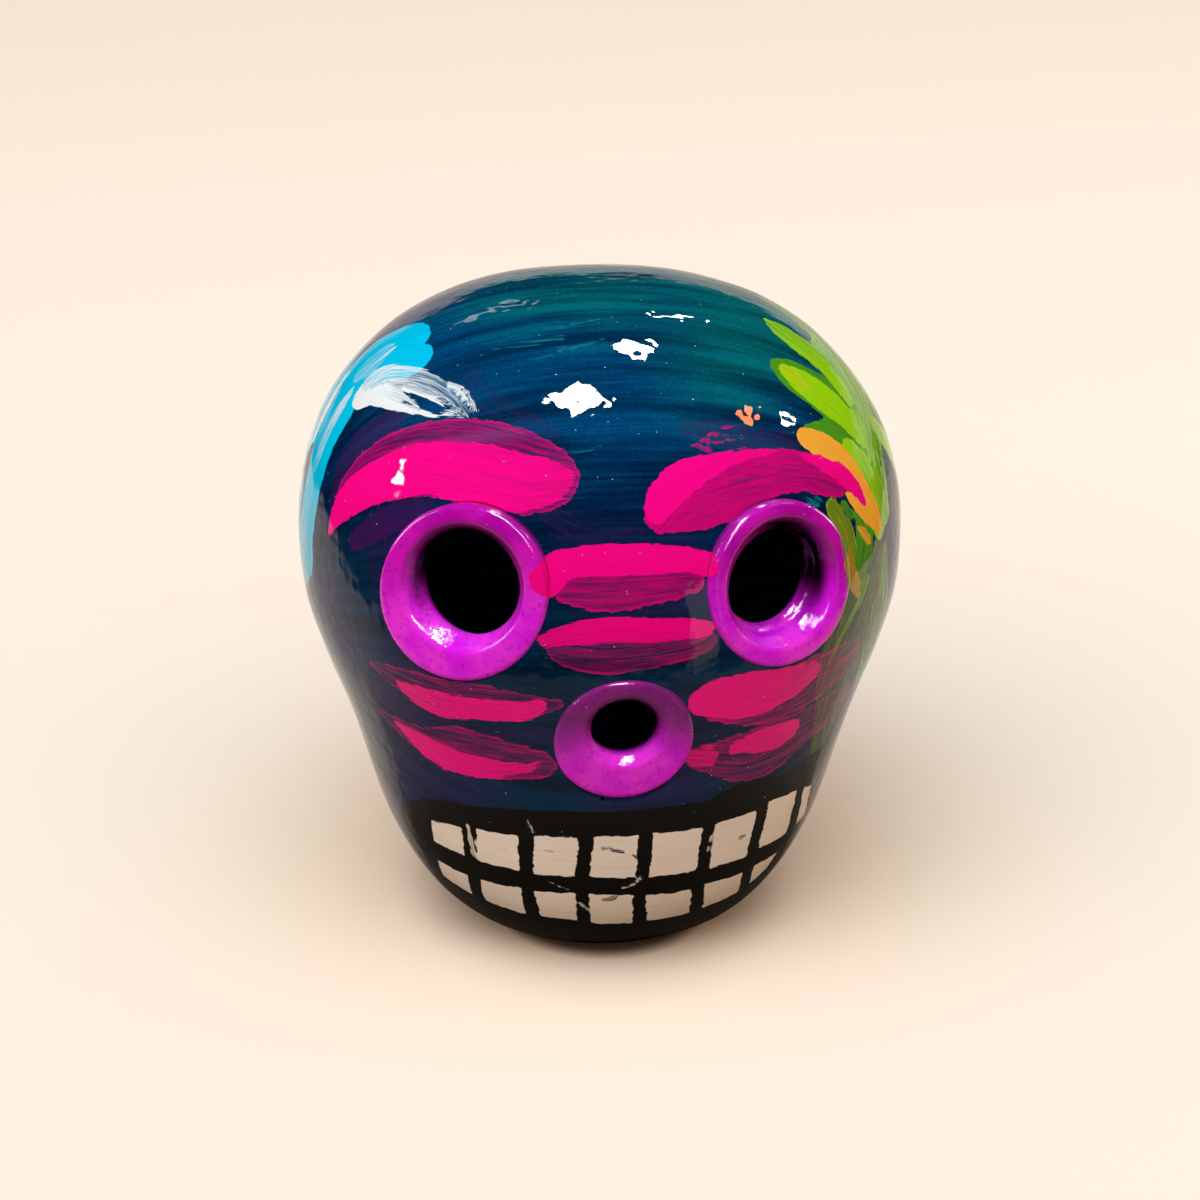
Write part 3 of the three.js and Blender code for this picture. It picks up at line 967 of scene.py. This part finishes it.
def makeBrushGroup():
    group = bpy.data.node_groups.new("brushCoat", "ShaderNodeTree")
    for name, kind in (("Below", "Color"), ("Field", "Vector"), ("Load", "Float"), ("Paint", "Color"),
                       ("Shade", "Color"), ("Ragged", "Float"), ("Streak", "Float"), ("Fray", "Float"),
                       ("Rim", "Float"), ("Shift", "Float"), ("Wander", "Float")):
        group.interface.new_socket(name, in_out="INPUT", socket_type="NodeSocket" + kind)
    group.interface.new_socket("Colour", in_out="OUTPUT", socket_type="NodeSocketColor")
    wires = Wires(group)
    given = group.nodes.new("NodeGroupInput").outputs
    along, across, edge = wires.parts(given["Field"])
    spot = wires.add("CombineXYZ", {0: along, 1: across, 2: given["Shift"]}).outputs[0]
    streaks = wires.noise(wires.stretch(spot, brushwork["streaks"]), detail=3, roughness=0.65)
    hairs = wires.noise(wires.stretch(spot, brushwork["hairs"]), detail=2)
    hairs = wires.calc("MULTIPLY", hairs, brushwork["hairShare"])
    bristle = wires.calc("MULTIPLY_ADD", streaks, 1 - brushwork["hairShare"], hairs)
    thin = wires.calc("SUBTRACT", 1.0, given["Load"], clamp=True)
    centred = wires.calc("SUBTRACT", bristle, 0.5)
    fray = wires.calc("MULTIPLY_ADD", thin, given["Fray"], brushwork["leastFray"])
    frayed = wires.calc("MULTIPLY", centred, fray)
    border = wires.calc("ADD", wires.calc("MULTIPLY_ADD", given["Wander"], given["Ragged"], edge), frayed)
    inside = wires.ease(border, -brushwork["softEdge"], brushwork["softEdge"])
    strength = wires.calc("MULTIPLY_ADD", thin, brushwork["streakRise"], brushwork["leastStreak"])
    strength = wires.calc("MULTIPLY", given["Streak"], strength)
    amount = wires.calc("MULTIPLY", given["Load"], brushwork["fill"])
    amount = wires.calc("MULTIPLY_ADD", centred, strength, amount)
    rim = wires.calc("MULTIPLY", wires.ease(border, 0.0, brushwork["rimWidth"], 1.0, 0.0), given["Rim"])
    filled = wires.calc("ADD", amount, rim, clamp=True)
    cover = wires.calc("MULTIPLY", inside, filled)
    tone = wires.calc("MULTIPLY_ADD", centred, brushwork["toneSpread"], filled, clamp=True)
    painted = wires.mix(tone, given["Shade"], given["Paint"])
    colour = wires.mix(cover, given["Below"], painted)
    wires.put(group.nodes.new("NodeGroupOutput").inputs["Colour"], colour)
    return group


brushGroup = makeBrushGroup()


def brushCoats(wires, place, below, names):
    wander = wires.calc("SUBTRACT", wires.noise(place, brushwork["wander"], 3), 0.5)
    for number, name in enumerate(names):
        look = coatLooks[name]
        values = {"Below": below, "Field": wires.attribute(name + "Field")["Vector"],
                  "Load": wires.attribute(name + "Load")["Fac"],
                  "Paint": look["paint"], "Shade": look["shade"], "Ragged": look["ragged"] * 2,
                  "Streak": look["streak"], "Fray": look["fray"], "Rim": look["rim"],
                  "Shift": number * brushwork["coatShift"], "Wander": wander}
        coat = wires.add("Group", node_tree=brushGroup)
        for key, value in values.items():
            wires.put(coat.inputs[key], value)
        below = coat.outputs["Colour"]
    return below


lacquer = {
    "roughness": 0.015,
    "index": 1.45,
    "crinkles": 700.0,         # these three are pattern scales per metre
    "ripples": 260.0,
    "pimples": 900.0,
    "crinkleDepth": 0.045 * mm,
    "rippleDepth": 0.08 * mm,
    "pimpleDepth": 0.04 * mm,
    "pimpleSize": 0.14,        # pimples and painted dust glints are parts of a pattern cell wide
    "dustGlintSize": 0.08,
    "dustGlintCover": 0.7,
    "dustGlintTint": tint(185, 212, 222),
    "pimpleChoice": (0.8, 0.85),    # which cells of the pattern hold a pimple or a painted dust glint
    "dustGlintChoice": (0.5, 0.56),
    "paintRoughness": 0.6,
}


def lacquered(material, wires, colour, relief):
    place = wires.add("TexCoord").outputs["Object"]
    ripple = wires.noise(place, lacquer["ripples"], 1)
    crinkle = wires.noise(place, lacquer["crinkles"], 0)
    spots = wires.add("TexVoronoi", {"Vector": place, "Scale": lacquer["pimples"]})
    chosen, pale, size = wires.parts(spots.outputs["Color"])
    pimple = wires.ease(spots.outputs["Distance"], 0.0, lacquer["pimpleSize"], 1.0, 0.0)
    pimple = wires.calc("MULTIPLY", pimple, wires.ease(chosen, *lacquer["pimpleChoice"]))
    height = wires.calc("MULTIPLY", ripple, lacquer["rippleDepth"])
    height = wires.calc("MULTIPLY_ADD", crinkle, lacquer["crinkleDepth"], height)
    height = wires.calc("MULTIPLY_ADD", pimple, lacquer["pimpleDepth"], height)
    film = wires.add("Bump", {"Height": wires.calc("ADD", height, relief), "Distance": 1.0})
    # Pale specks are painted into the colour: painted glints off dust caught in the lacquer.
    reach = wires.calc("MULTIPLY", size, lacquer["dustGlintSize"])
    dustGlint = wires.calc("LESS_THAN", spots.outputs["Distance"], reach)
    dustGlint = wires.calc("MULTIPLY", dustGlint, wires.ease(pale, *lacquer["dustGlintChoice"], 0.0, lacquer["dustGlintCover"]))
    colour = wires.mix(dustGlint, colour, lacquer["dustGlintTint"])
    shader = wires.add("BsdfPrincipled", {"Base Color": colour, "Roughness": lacquer["paintRoughness"],
                                          "Specular IOR Level": 0.0, "Coat Weight": 1.0,
                                          "Coat Roughness": lacquer["roughness"],
                                          "Coat IOR": lacquer["index"], "Coat Normal": film.outputs[0]})
    wires.put(wires.add("OutputMaterial").inputs["Surface"], shader.outputs[0])
    return material


baseTints = {
    "face": tint(3, 46, 80),
    "brow": tint(2, 34, 76),
    "purple": tint(43, 25, 86),
    "crown": tint(2, 62, 112),
    "teal": tint(4, 106, 112),
    "streak": tint(4, 105, 145),
}


# Heights, and places to the side, between which one base colour gives way to the next.
baseEdges = {
    "brow": (50 * mm, 60 * mm),
    "crown": (65 * mm, 73 * mm),
    "rightTeal": (69 * mm, 76 * mm),
    "rightSide": (0.0, 16 * mm),
    "topTeal": (77 * mm, 83 * mm),
    "streaks": (56 * mm, 72 * mm),
    "low": (66 * mm, 56 * mm),     # below this the flanks are brushed upright
    "flank": (14 * mm, 24 * mm),
}
baseBrush = {
    "broad": (0.035, 0.3, 1),      # waves per mm along and across the sweep of the brush
    "fine": (0.06, 2.2, 1),
    "upright": (1.9, 0.07, 1),
    "blotches": 55.0,              # noise scales per metre
    "grain": 2600.0,
    "sway": 12 * mm,               # how far the edges between the base colours wander
    "relief": 0.002 * mm,
    "uprightRelief": 0.016 * mm,
    "purpleSpread": (0.45, 0.65),  # where in its pattern's range a look sets in, and then its strengths
    "purpleShare": 0.6,
    "streakSpread": (0.42, 0.8),
    "streakShares": (0.06, 0.42),
    "broadShades": (0.33, 0.62, 0.5, 1.08),
    "grainShades": (0.35, 0.65, 0.85, 1.1),
}


def shellMaterial():
    material, wires = newMaterial("paintedShell")
    place = wires.add("TexCoord").outputs["Object"]
    x, y, z = wires.parts(place)
    sweep = wires.attribute("sweep")["Vector"]
    rising = wires.attribute("upright")["Vector"]
    broad = wires.noise(wires.stretch(sweep, baseBrush["broad"]), detail=3, roughness=0.6)
    fine = wires.noise(wires.stretch(sweep, baseBrush["fine"]), detail=3, roughness=0.65)
    upright = wires.noise(wires.stretch(rising, baseBrush["upright"]), detail=3, roughness=0.7)
    low = wires.calc("MULTIPLY", wires.ease(wires.calc("ABSOLUTE", x), *baseEdges["flank"]),
                     wires.ease(z, *baseEdges["low"]))
    fine = wires.calc("ADD", wires.calc("MULTIPLY", fine, wires.calc("SUBTRACT", 1.0, low)),
                      wires.calc("MULTIPLY", upright, low))
    blotch = wires.noise(place, baseBrush["blotches"], 2)
    height = wires.calc("MULTIPLY_ADD", wires.calc("SUBTRACT", broad, 0.5), baseBrush["sway"], z)
    base = wires.mix(wires.ease(height, *baseEdges["brow"]), baseTints["face"], baseTints["brow"])
    base = wires.mix(wires.ease(height, *baseEdges["crown"]), base, baseTints["crown"])
    right = wires.calc("MULTIPLY", wires.ease(x, *baseEdges["rightSide"]),
                       wires.ease(height, *baseEdges["rightTeal"]))
    teal = wires.calc("MAXIMUM", right, wires.ease(height, *baseEdges["topTeal"]))
    base = wires.mix(teal, base, baseTints["teal"])
    purple = wires.calc("MULTIPLY", wires.ease(blotch, *baseBrush["purpleSpread"]),
                        wires.ease(z, *baseEdges["low"]))
    base = wires.mix(wires.calc("MULTIPLY", purple, baseBrush["purpleShare"]), base, baseTints["purple"])
    streaks = wires.calc("MULTIPLY", wires.ease(fine, *baseBrush["streakSpread"]),
                         wires.ease(z, *baseEdges["streaks"], *baseBrush["streakShares"]))
    base = wires.mix(streaks, base, baseTints["streak"])
    grain = wires.noise(place, baseBrush["grain"], 2)
    dark = wires.calc("MULTIPLY", wires.ease(broad, *baseBrush["broadShades"]),
                      wires.ease(grain, *baseBrush["grainShades"]))
    dark = wires.add("CombineColor", {0: dark, 1: dark, 2: dark}).outputs[0]
    base = wires.mix(1.0, base, dark, "MULTIPLY")
    depth = wires.calc("MULTIPLY_ADD", low, baseBrush["uprightRelief"], baseBrush["relief"])
    return lacquered(material, wires, brushCoats(wires, place, base, list(coats)),
                     wires.calc("MULTIPLY", fine, depth))


# The lower and upper tints are lit and shaded copies of the ring's magenta, as painted light and shade.
ringTints = {
    "lower": (tint(234, 28, 255), tint(255, 60, 255)),
    "upper": (tint(186, 12, 178), tint(214, 24, 200)),
    "noseTop": tint(104, 44, 104),
    "fleck": tint(110, 8, 120),
    "lipSheenTint": tint(120, 62, 108),
    "throat": tint(14, 2, 16),
}
ringClay = {
    "clouds": 220.0,               # noise scales per metre
    "flecks": 1500.0,
    "roughness": 2600.0,
    "roughDepth": 0.04 * mm,
    "noseHeight": (44 * mm, 42 * mm),   # the ring below this is the nose's
    "darkDepth": (0.4, 1.7),       # mm below the lip: where painted shade on the dark side sets in
    "throatDepth": (2.6, 4.2),     # mm below the lip: where it is dark all round, from painted shade and the throat's own dark paint
    "lipDepth": (0.0, 0.15),       # mm below the lip: where its band of painted reflection begins and ends
    "lipEnd": (1.1, 0.4),
    "cloudSpread": (0.35, 0.65),
    "fleckSpread": (0.55, 0.7),
    "fleckShare": 0.45,
    "topSide": (-0.5, 0.5),        # how far up, or toward the dark side, and then the strengths there
    "noseTopSide": (-0.6, 0.4, 0.0, 0.8),
    "lipSheenSide": (-0.1, 0.5, 0.0, 0.6),
    "darkSide": (-0.3, 0.75),
}


def ringMaterial():
    material, wires = newMaterial("paintedRing")
    place = wires.add("TexCoord").outputs["Object"]
    cloud = wires.ease(wires.noise(place, ringClay["clouds"], 3), *ringClay["cloudSpread"])
    grain = wires.noise(place, ringClay["flecks"], 3, 0.6)
    upward = wires.attribute("upward")["Fac"]
    depth = wires.attribute("depth")["Fac"]
    darkward = wires.attribute("darkward")["Fac"]
    # Painted light and shade: each ring's lower part is painted brighter, its upper part darker.
    base = wires.mix(cloud, *ringTints["lower"])
    base = wires.mix(wires.ease(upward, *ringClay["topSide"]), base, wires.mix(cloud, *ringTints["upper"]))
    # The nose ring is greyer and darker toward its top.
    onNose = wires.ease(wires.parts(place)[2], *ringClay["noseHeight"])
    noseTopGrey = wires.calc("MULTIPLY", onNose, wires.ease(upward, *ringClay["noseTopSide"]))
    base = wires.mix(noseTopGrey, base, ringTints["noseTop"])
    flecks = wires.calc("MULTIPLY", wires.ease(grain, *ringClay["fleckSpread"]), ringClay["fleckShare"])
    base = wires.mix(flecks, base, ringTints["fleck"])
    colour = brushCoats(wires, place, base, ringCoats)
    # Painted shade: the mouth darkens with depth, first on its dark side, then all round deep in the throat.
    shade = wires.calc("MULTIPLY", wires.ease(depth, *ringClay["darkDepth"]),
                       wires.ease(darkward, *ringClay["darkSide"]))
    shade = wires.calc("MAXIMUM", shade, wires.ease(depth, *ringClay["throatDepth"]))
    # A greyish band is painted on the upper part of the lip: a painted reflection of the floor.
    lip = wires.calc("MULTIPLY", wires.ease(depth, *ringClay["lipDepth"]),
                     wires.ease(depth, *ringClay["lipEnd"]))
    lipSheen = wires.calc("MULTIPLY", lip, wires.ease(upward, *ringClay["lipSheenSide"]))
    colour = wires.mix(lipSheen, colour, ringTints["lipSheenTint"])
    colour = wires.mix(shade, colour, ringTints["throat"])
    rough = wires.noise(place, ringClay["roughness"], 1)
    return lacquered(material, wires, colour, wires.calc("MULTIPLY", rough, ringClay["roughDepth"]))


bareClay = {
    "grain": 900.0,         # noise scales per metre
    "clouds": 90.0,
    "tints": (tint(150, 88, 58), tint(186, 118, 82)),
    "darkGrain": tint(110, 62, 42),
    "darkSpread": (0.55, 0.8),
    "relief": 0.08 * mm,
    "roughness": (0.3, 0.8, 0.8, 0.95),
}


def clayMaterial():
    material, wires = newMaterial("bareClay")
    place = wires.add("TexCoord").outputs["Object"]
    grain = wires.noise(place, bareClay["grain"], 4, 0.7)
    cloud = wires.noise(place, bareClay["clouds"], 3)
    colour = wires.mix(cloud, *bareClay["tints"])
    colour = wires.mix(wires.ease(grain, *bareClay["darkSpread"]), colour, bareClay["darkGrain"])
    bump = wires.add("Bump", {"Height": grain, "Distance": bareClay["relief"]})
    shader = wires.add("BsdfPrincipled", {"Base Color": colour, "Normal": bump.outputs[0],
                                          "Roughness": wires.ease(grain, *bareClay["roughness"])})
    wires.put(wires.add("OutputMaterial").inputs["Surface"], shader.outputs[0])
    return material


def dress(piece, material):
    piece.data.materials.clear()
    piece.data.materials.append(material)


shellPaint = shellMaterial()
dress(faceHalf, shellPaint)
dress(backHalf, shellPaint)
ringPaint = ringMaterial()
for piece in ringPieces.values():
    dress(piece, ringPaint)
clay = clayMaterial()
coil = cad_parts["seam_coil"]
for slot in coil.material_slots:
    slot.material = clay
print("finishes mixed")


# Stage: a cream paper floor, and studio lights whose reflections lie where the picture has them.

stage = {
    "floorRadius": 3.0,
    "floorCorners": 96,
    "fibres": 900.0,        # noise scales per metre
    "clouds": 8.0,
    "fibreRelief": 0.08 * mm,
    "fibreStrength": 0.6,
    "paperRoughness": 0.9,
    "paper": (0.95, 0.845, 0.75, 1),
    # the paper is painted darker far behind the skull, as painted shade
    "paperShadedBehind": (0.76, 0.655, 0.56, 1),
    "paperWarmShade": (0.99, 0.83, 0.66, 1),     # warmer close to the skull: the warm tint of the painted shade there
    "paperClouds": (0.92, 0.8, 0.68, 1),
    "nearShares": (30 * mm, 80 * mm, 0.8, 0.0),
    "cloudShare": 0.12,
    "behindReach": 0.9,
    "lightReach": 2.5,
    "lightTint": (1, 0.99, 0.98),
}

# The shade where the base rests: half its width and depth, and how far it lies in front of the middle.
contact = {
    "half": (13 * mm, 20 * mm),
    "forward": 1.5 * mm,
    "tint": (0.05, 0.038, 0.028, 1),
    "close": (1.1, 1.36, 0.95, 0.0),        # its reach in sizes of the base, and its strength
    "wide": (1.1, 2.1, 1.0, 0.0),
    "wideShares": (-26 * mm, -12 * mm, 0.22, 0.5),
}

# The low bright wall behind, as the lacquer shows it. Sides are x over y.
wall = {
    "top": (0.12, 0.22),
    "behind": (0.0, 0.1),
    "left": (-0.32, -0.2),
    "right": (1.4, 2.2),
    "glow": (0.2, 0.45, 0.5, 0.7),          # it is brighter at the right
}

# The part of the floor that the lacquer shows as lit. Shares and slopes are bare, the rest in metres.
litFloor = {
    "front": -0.092,
    "bends": ((0.5, -0.105), (1.3, -0.22)),   # slope and start of its front edge at both sides
    "depthShares": (-60 * mm, 20 * mm, 0.28, 0.85),
    "closeShares": (35 * mm, 80 * mm, 0.2, 1.0),
    "beside": (-15 * mm, 10 * mm),
    "softEdge": (0.0, 0.06, 0.03, 1.0),
    "wedgeLeft": (-0.6, -0.35),
    "wedgeRight": (1.5, 2.5),
    "wedgeShare": 0.7,
    "far": (0.32, 0.5),
    "stripStart": -0.09,
    "stripPlace": 0.05,
    "stripSlope": 0.65,
    "stripHalf": 0.012,
    "stripSpread": 0.1,
    "stripShare": 0.8,
    "stripEdge": (0.7, 1.0),
    "stripFront": (-0.01, 0.0),
    "stripEnd": (0.25, 0.3),
}

# The soft room that lights paint and paper: a warm low band, its bright back, a key and an overhead glow.
room = {
    "band": (1.25, 0.73, 0.4, 1),
    "bandTop": (0.3, 0.75),
    "back": (2.1, 2.15, 1.8, 1),
    "key": (1.2, 1.33, 1.42, 1),
    "keyToward": (-0.5, -0.5, 0.7071),
    "top": (1.45, 1.88, 2.18, 1),
    "topToward": (0, -0.4226, 0.9063),
    "narrowness": 6.0,
}

# These lamps show only in the lacquer. Some of them show only in that of the rings.
lights = {
    "overhead": {"toward": (-0.095, -0.045, 0.995), "size": (0.2, 0.18), "glow": 60},
    "behind": {"toward": (0.155, 0.438, 0.885), "size": (0.15, 0.11), "glow": 60},
    "farBehind": {"toward": (0.238, 0.732, 0.639), "size": (0.11, 0.025), "glow": 50},
    "smudge": {"toward": (-0.14, 0.86, 0.48), "size": (0.2, 0.035), "glow": 1.6},
    "warmLamp": {"toward": (0.63, 0.03, 0.776), "size": (0.1, 0.08), "glow": 36, "tint": (1, 0.22, 0.06)},
    "rightLamp": {"toward": (0.77, 0.12, 0.627), "size": (0.09, 0.07), "glow": 50},
    "leftLamp": {"toward": (-0.925, 0.03, 0.375), "size": (0.09, 0.09), "glow": 35},
    "leftBulb": {"toward": (-0.885, 0.06, 0.46), "size": (0.05, 0.06), "glow": 35},
    "ringTop": {"toward": (-0.1, -0.42, 0.9), "size": (0.42, 0.24), "glow": 50, "rings": True},
    "ringFront": {"toward": (0.08, -0.823, 0.557), "size": (0.2, 0.55), "glow": 30, "rings": True},
    "ringLeft": {"toward": (-0.894, 0.388, 0.229), "size": (0.12, 0.45), "glow": 25, "rings": True},
    "ringRight": {"toward": (0.859, 0.5, 0.113), "size": (0.12, 0.45), "glow": 25, "rings": True},
}


ringGroup = bpy.data.collections.new("rings")
for piece in ringPieces.values():
    ringGroup.objects.link(piece)


def makeLight(name, lamp):
    data = bpy.data.lights.new(name, "AREA")
    data.shape = "RECTANGLE"
    data.size, data.size_y = (side * stage["lightReach"] for side in lamp["size"])
    data.color = lamp.get("tint", stage["lightTint"])
    data.energy = lamp["glow"] * math.pi * data.size * data.size_y
    toward = Vector(lamp["toward"]).normalized()
    made = bpy.data.objects.new(name, data)
    made.location = Vector((0, seamPlace, camera["lookHeight"])) + toward * stage["lightReach"]
    made.rotation_euler = toward.to_track_quat("Z", "Y").to_euler()
    made.visible_camera = False
    made.visible_diffuse = False
    if lamp.get("rings"):
        made.light_linking.receiver_collection = ringGroup
    bpy.context.scene.collection.objects.link(made)


def makeFloor():
    disc = bmesh.new()
    bmesh.ops.create_circle(disc, cap_ends=True, segments=stage["floorCorners"], radius=stage["floorRadius"])
    mesh = bpy.data.meshes.new("floor")
    disc.to_mesh(mesh)
    disc.free()
    made = bpy.data.objects.new("floor", mesh)
    bpy.context.scene.collection.objects.link(made)
    return made


floor = makeFloor()
for name, lamp in lights.items():
    makeLight(name, lamp)
print("stage and", len(lights), "lights set")

bpy.context.scene.view_settings.view_transform = "Standard"


def makeWorld():
    world = bpy.data.worlds.new("studio")
    world.use_nodes = True
    world.node_tree.nodes.clear()
    wires = Wires(world.node_tree)
    toward = wires.add("TexCoord").outputs["Generated"]
    x, y, z = wires.parts(toward)
    band = wires.ease(z, *room["bandTop"], 1.0, 0.0)
    shares = {"band": band, "back": wires.calc("MULTIPLY", band, wires.calc("MAXIMUM", y, 0.0))}
    for name in ("key", "top"):
        facing = wires.add("VectorMath", {0: toward, 1: room[name + "Toward"]}, operation="DOT_PRODUCT")
        facing = wires.calc("MAXIMUM", facing.outputs["Value"], 0.0)
        shares[name] = wires.calc("POWER", facing, room["narrowness"])
    sky = (0, 0, 0, 1)
    for name, share in shares.items():
        glow = wires.add("VectorMath", {0: room[name][:3], 3: share}, operation="SCALE").outputs[0]
        sky = wires.mix(1.0, sky, glow, "ADD")
    # In the lacquer the room is dark but for a low wall behind, which is longer at the right.
    aside = wires.calc("DIVIDE", x, wires.calc("MAXIMUM", y, 0.001))
    lit = wires.calc("MULTIPLY", wires.ease(z, *wall["top"], 1.0, 0.0), wires.ease(aside, *wall["left"]))
    lit = wires.calc("MULTIPLY", lit, wires.ease(aside, *wall["right"], 1.0, 0.0))
    lit = wires.calc("MULTIPLY", lit, wires.ease(y, *wall["behind"]))
    lit = wires.calc("MULTIPLY", lit, wires.ease(aside, *wall["glow"]))
    mirrored = wires.add("VectorMath", {0: stage["paper"][:3], 3: lit}, operation="SCALE").outputs[0]
    path = wires.add("LightPath").outputs
    seen = wires.mix(path["Is Camera Ray"], wires.mix(path["Is Glossy Ray"], sky, mirrored), stage["paper"])
    back = wires.add("Background", {"Color": seen})
    wires.put(wires.add("OutputWorld").inputs["Surface"], back.outputs[0])
    bpy.context.scene.world = world


def litPaper(wires, place):
    x, y, z = wires.parts(place)
    away = wires.add("VectorMath", {0: place}, operation="LENGTH").outputs["Value"]
    side = wires.calc("ABSOLUTE", x)
    # The front edge of the lit part bends back at both sides.
    edge = litFloor["front"]
    for slope, start in litFloor["bends"]:
        edge = wires.calc("MAXIMUM", edge, wires.calc("MULTIPLY_ADD", side, slope, start))
    inside = wires.calc("SUBTRACT", y, edge)
    # The floor right in front of the face is dim, and that beside the skull is bright.
    close = wires.calc("MAXIMUM", wires.ease(away, *litFloor["closeShares"]),
                       wires.ease(y, *litFloor["beside"]))
    share = wires.calc("MULTIPLY", wires.ease(y, *litFloor["depthShares"]), close)
    lit = wires.ease(wires.calc("DIVIDE", inside, away), *litFloor["softEdge"])
    lit = wires.calc("MULTIPLY", lit, share)
    # Far out only a wedge behind the skull is bright.
    aside = wires.calc("DIVIDE", x, wires.calc("MAXIMUM", y, 0.001))
    wedge = wires.calc("MULTIPLY", wires.ease(aside, *litFloor["wedgeLeft"]),
                       wires.ease(aside, *litFloor["wedgeRight"], 1.0, 0.0))
    dim = wires.calc("SUBTRACT", 1.0, wires.calc("MULTIPLY", wedge, litFloor["wedgeShare"]))
    dim = wires.calc("MULTIPLY", wires.ease(away, *litFloor["far"]), dim)
    lit = wires.calc("MULTIPLY", lit, wires.calc("SUBTRACT", 1.0, dim))
    # A bright strip runs forward in front of the skull's left eye.
    along = wires.calc("MULTIPLY_ADD", y, -1.0, litFloor["stripStart"])
    middle = wires.calc("MULTIPLY_ADD", along, litFloor["stripSlope"], litFloor["stripPlace"])
    off = wires.calc("ABSOLUTE", wires.calc("SUBTRACT", x, middle))
    half = wires.calc("MULTIPLY_ADD", along, litFloor["stripSpread"], litFloor["stripHalf"])
    off = wires.calc("DIVIDE", off, half)
    strip = wires.ease(off, *litFloor["stripEdge"], litFloor["stripShare"], 0.0)
    strip = wires.calc("MULTIPLY", strip, wires.ease(along, *litFloor["stripFront"]))
    strip = wires.calc("MULTIPLY", strip, wires.ease(along, *litFloor["stripEnd"], 1.0, 0.0))
    return wires.calc("MAXIMUM", lit, strip)


def contactShade(wires, place):
    halfWide, halfDeep = contact["half"]
    spread = wires.add("VectorMath", {0: place, 1: (0, contact["forward"], 0)}, operation="ADD").outputs[0]
    spread = wires.add("VectorMath", {0: spread, 1: (1 / halfWide, 1 / halfDeep, 0)}, operation="MULTIPLY")
    foot = wires.add("VectorMath", {0: spread.outputs[0]}, operation="LENGTH").outputs["Value"]
    wide = wires.calc("MULTIPLY", wires.ease(foot, *contact["wide"]),
                      wires.ease(wires.parts(place)[1], *contact["wideShares"]))
    return wires.calc("MAXIMUM", wires.ease(foot, *contact["close"]), wide)


def floorMaterial():
    material, wires = newMaterial("creamPaper")
    place = wires.add("TexCoord").outputs["Object"]
    fibres = wires.noise(place, stage["fibres"], 3, 0.6)
    cloud = wires.noise(place, stage["clouds"], 2)
    behind = wires.ease(wires.parts(place)[1], 0.0, stage["behindReach"])
    colour = wires.mix(behind, stage["paper"], stage["paperShadedBehind"])
    away = wires.add("VectorMath", {0: place}, operation="LENGTH").outputs["Value"]
    colour = wires.mix(wires.ease(away, *stage["nearShares"]), colour, stage["paperWarmShade"])
    colour = wires.mix(wires.calc("MULTIPLY", cloud, stage["cloudShare"]), colour, stage["paperClouds"])
    colour = wires.mix(contactShade(wires, place), colour, contact["tint"])
    bump = wires.add("Bump", {"Height": fibres, "Distance": stage["fibreRelief"],
                              "Strength": stage["fibreStrength"]})
    paper = wires.add("BsdfDiffuse", {"Color": colour, "Roughness": stage["paperRoughness"],
                                      "Normal": bump.outputs[0]})
    # Only its lit part shows in the lacquer and throws light back. The camera sees all of it.
    unlit = wires.calc("SUBTRACT", 1.0, litPaper(wires, place))
    unseen = wires.calc("SUBTRACT", 1.0, wires.add("LightPath").outputs["Is Camera Ray"])
    dark = wires.add("BsdfDiffuse", {"Color": (0, 0, 0, 1)})
    values = {0: wires.calc("MULTIPLY", unlit, unseen), 1: paper.outputs[0], 2: dark.outputs[0]}
    both = wires.add("MixShader", values)
    wires.put(wires.add("OutputMaterial").inputs["Surface"], both.outputs[0])
    return material


makeWorld()
dress(floor, floorMaterial())
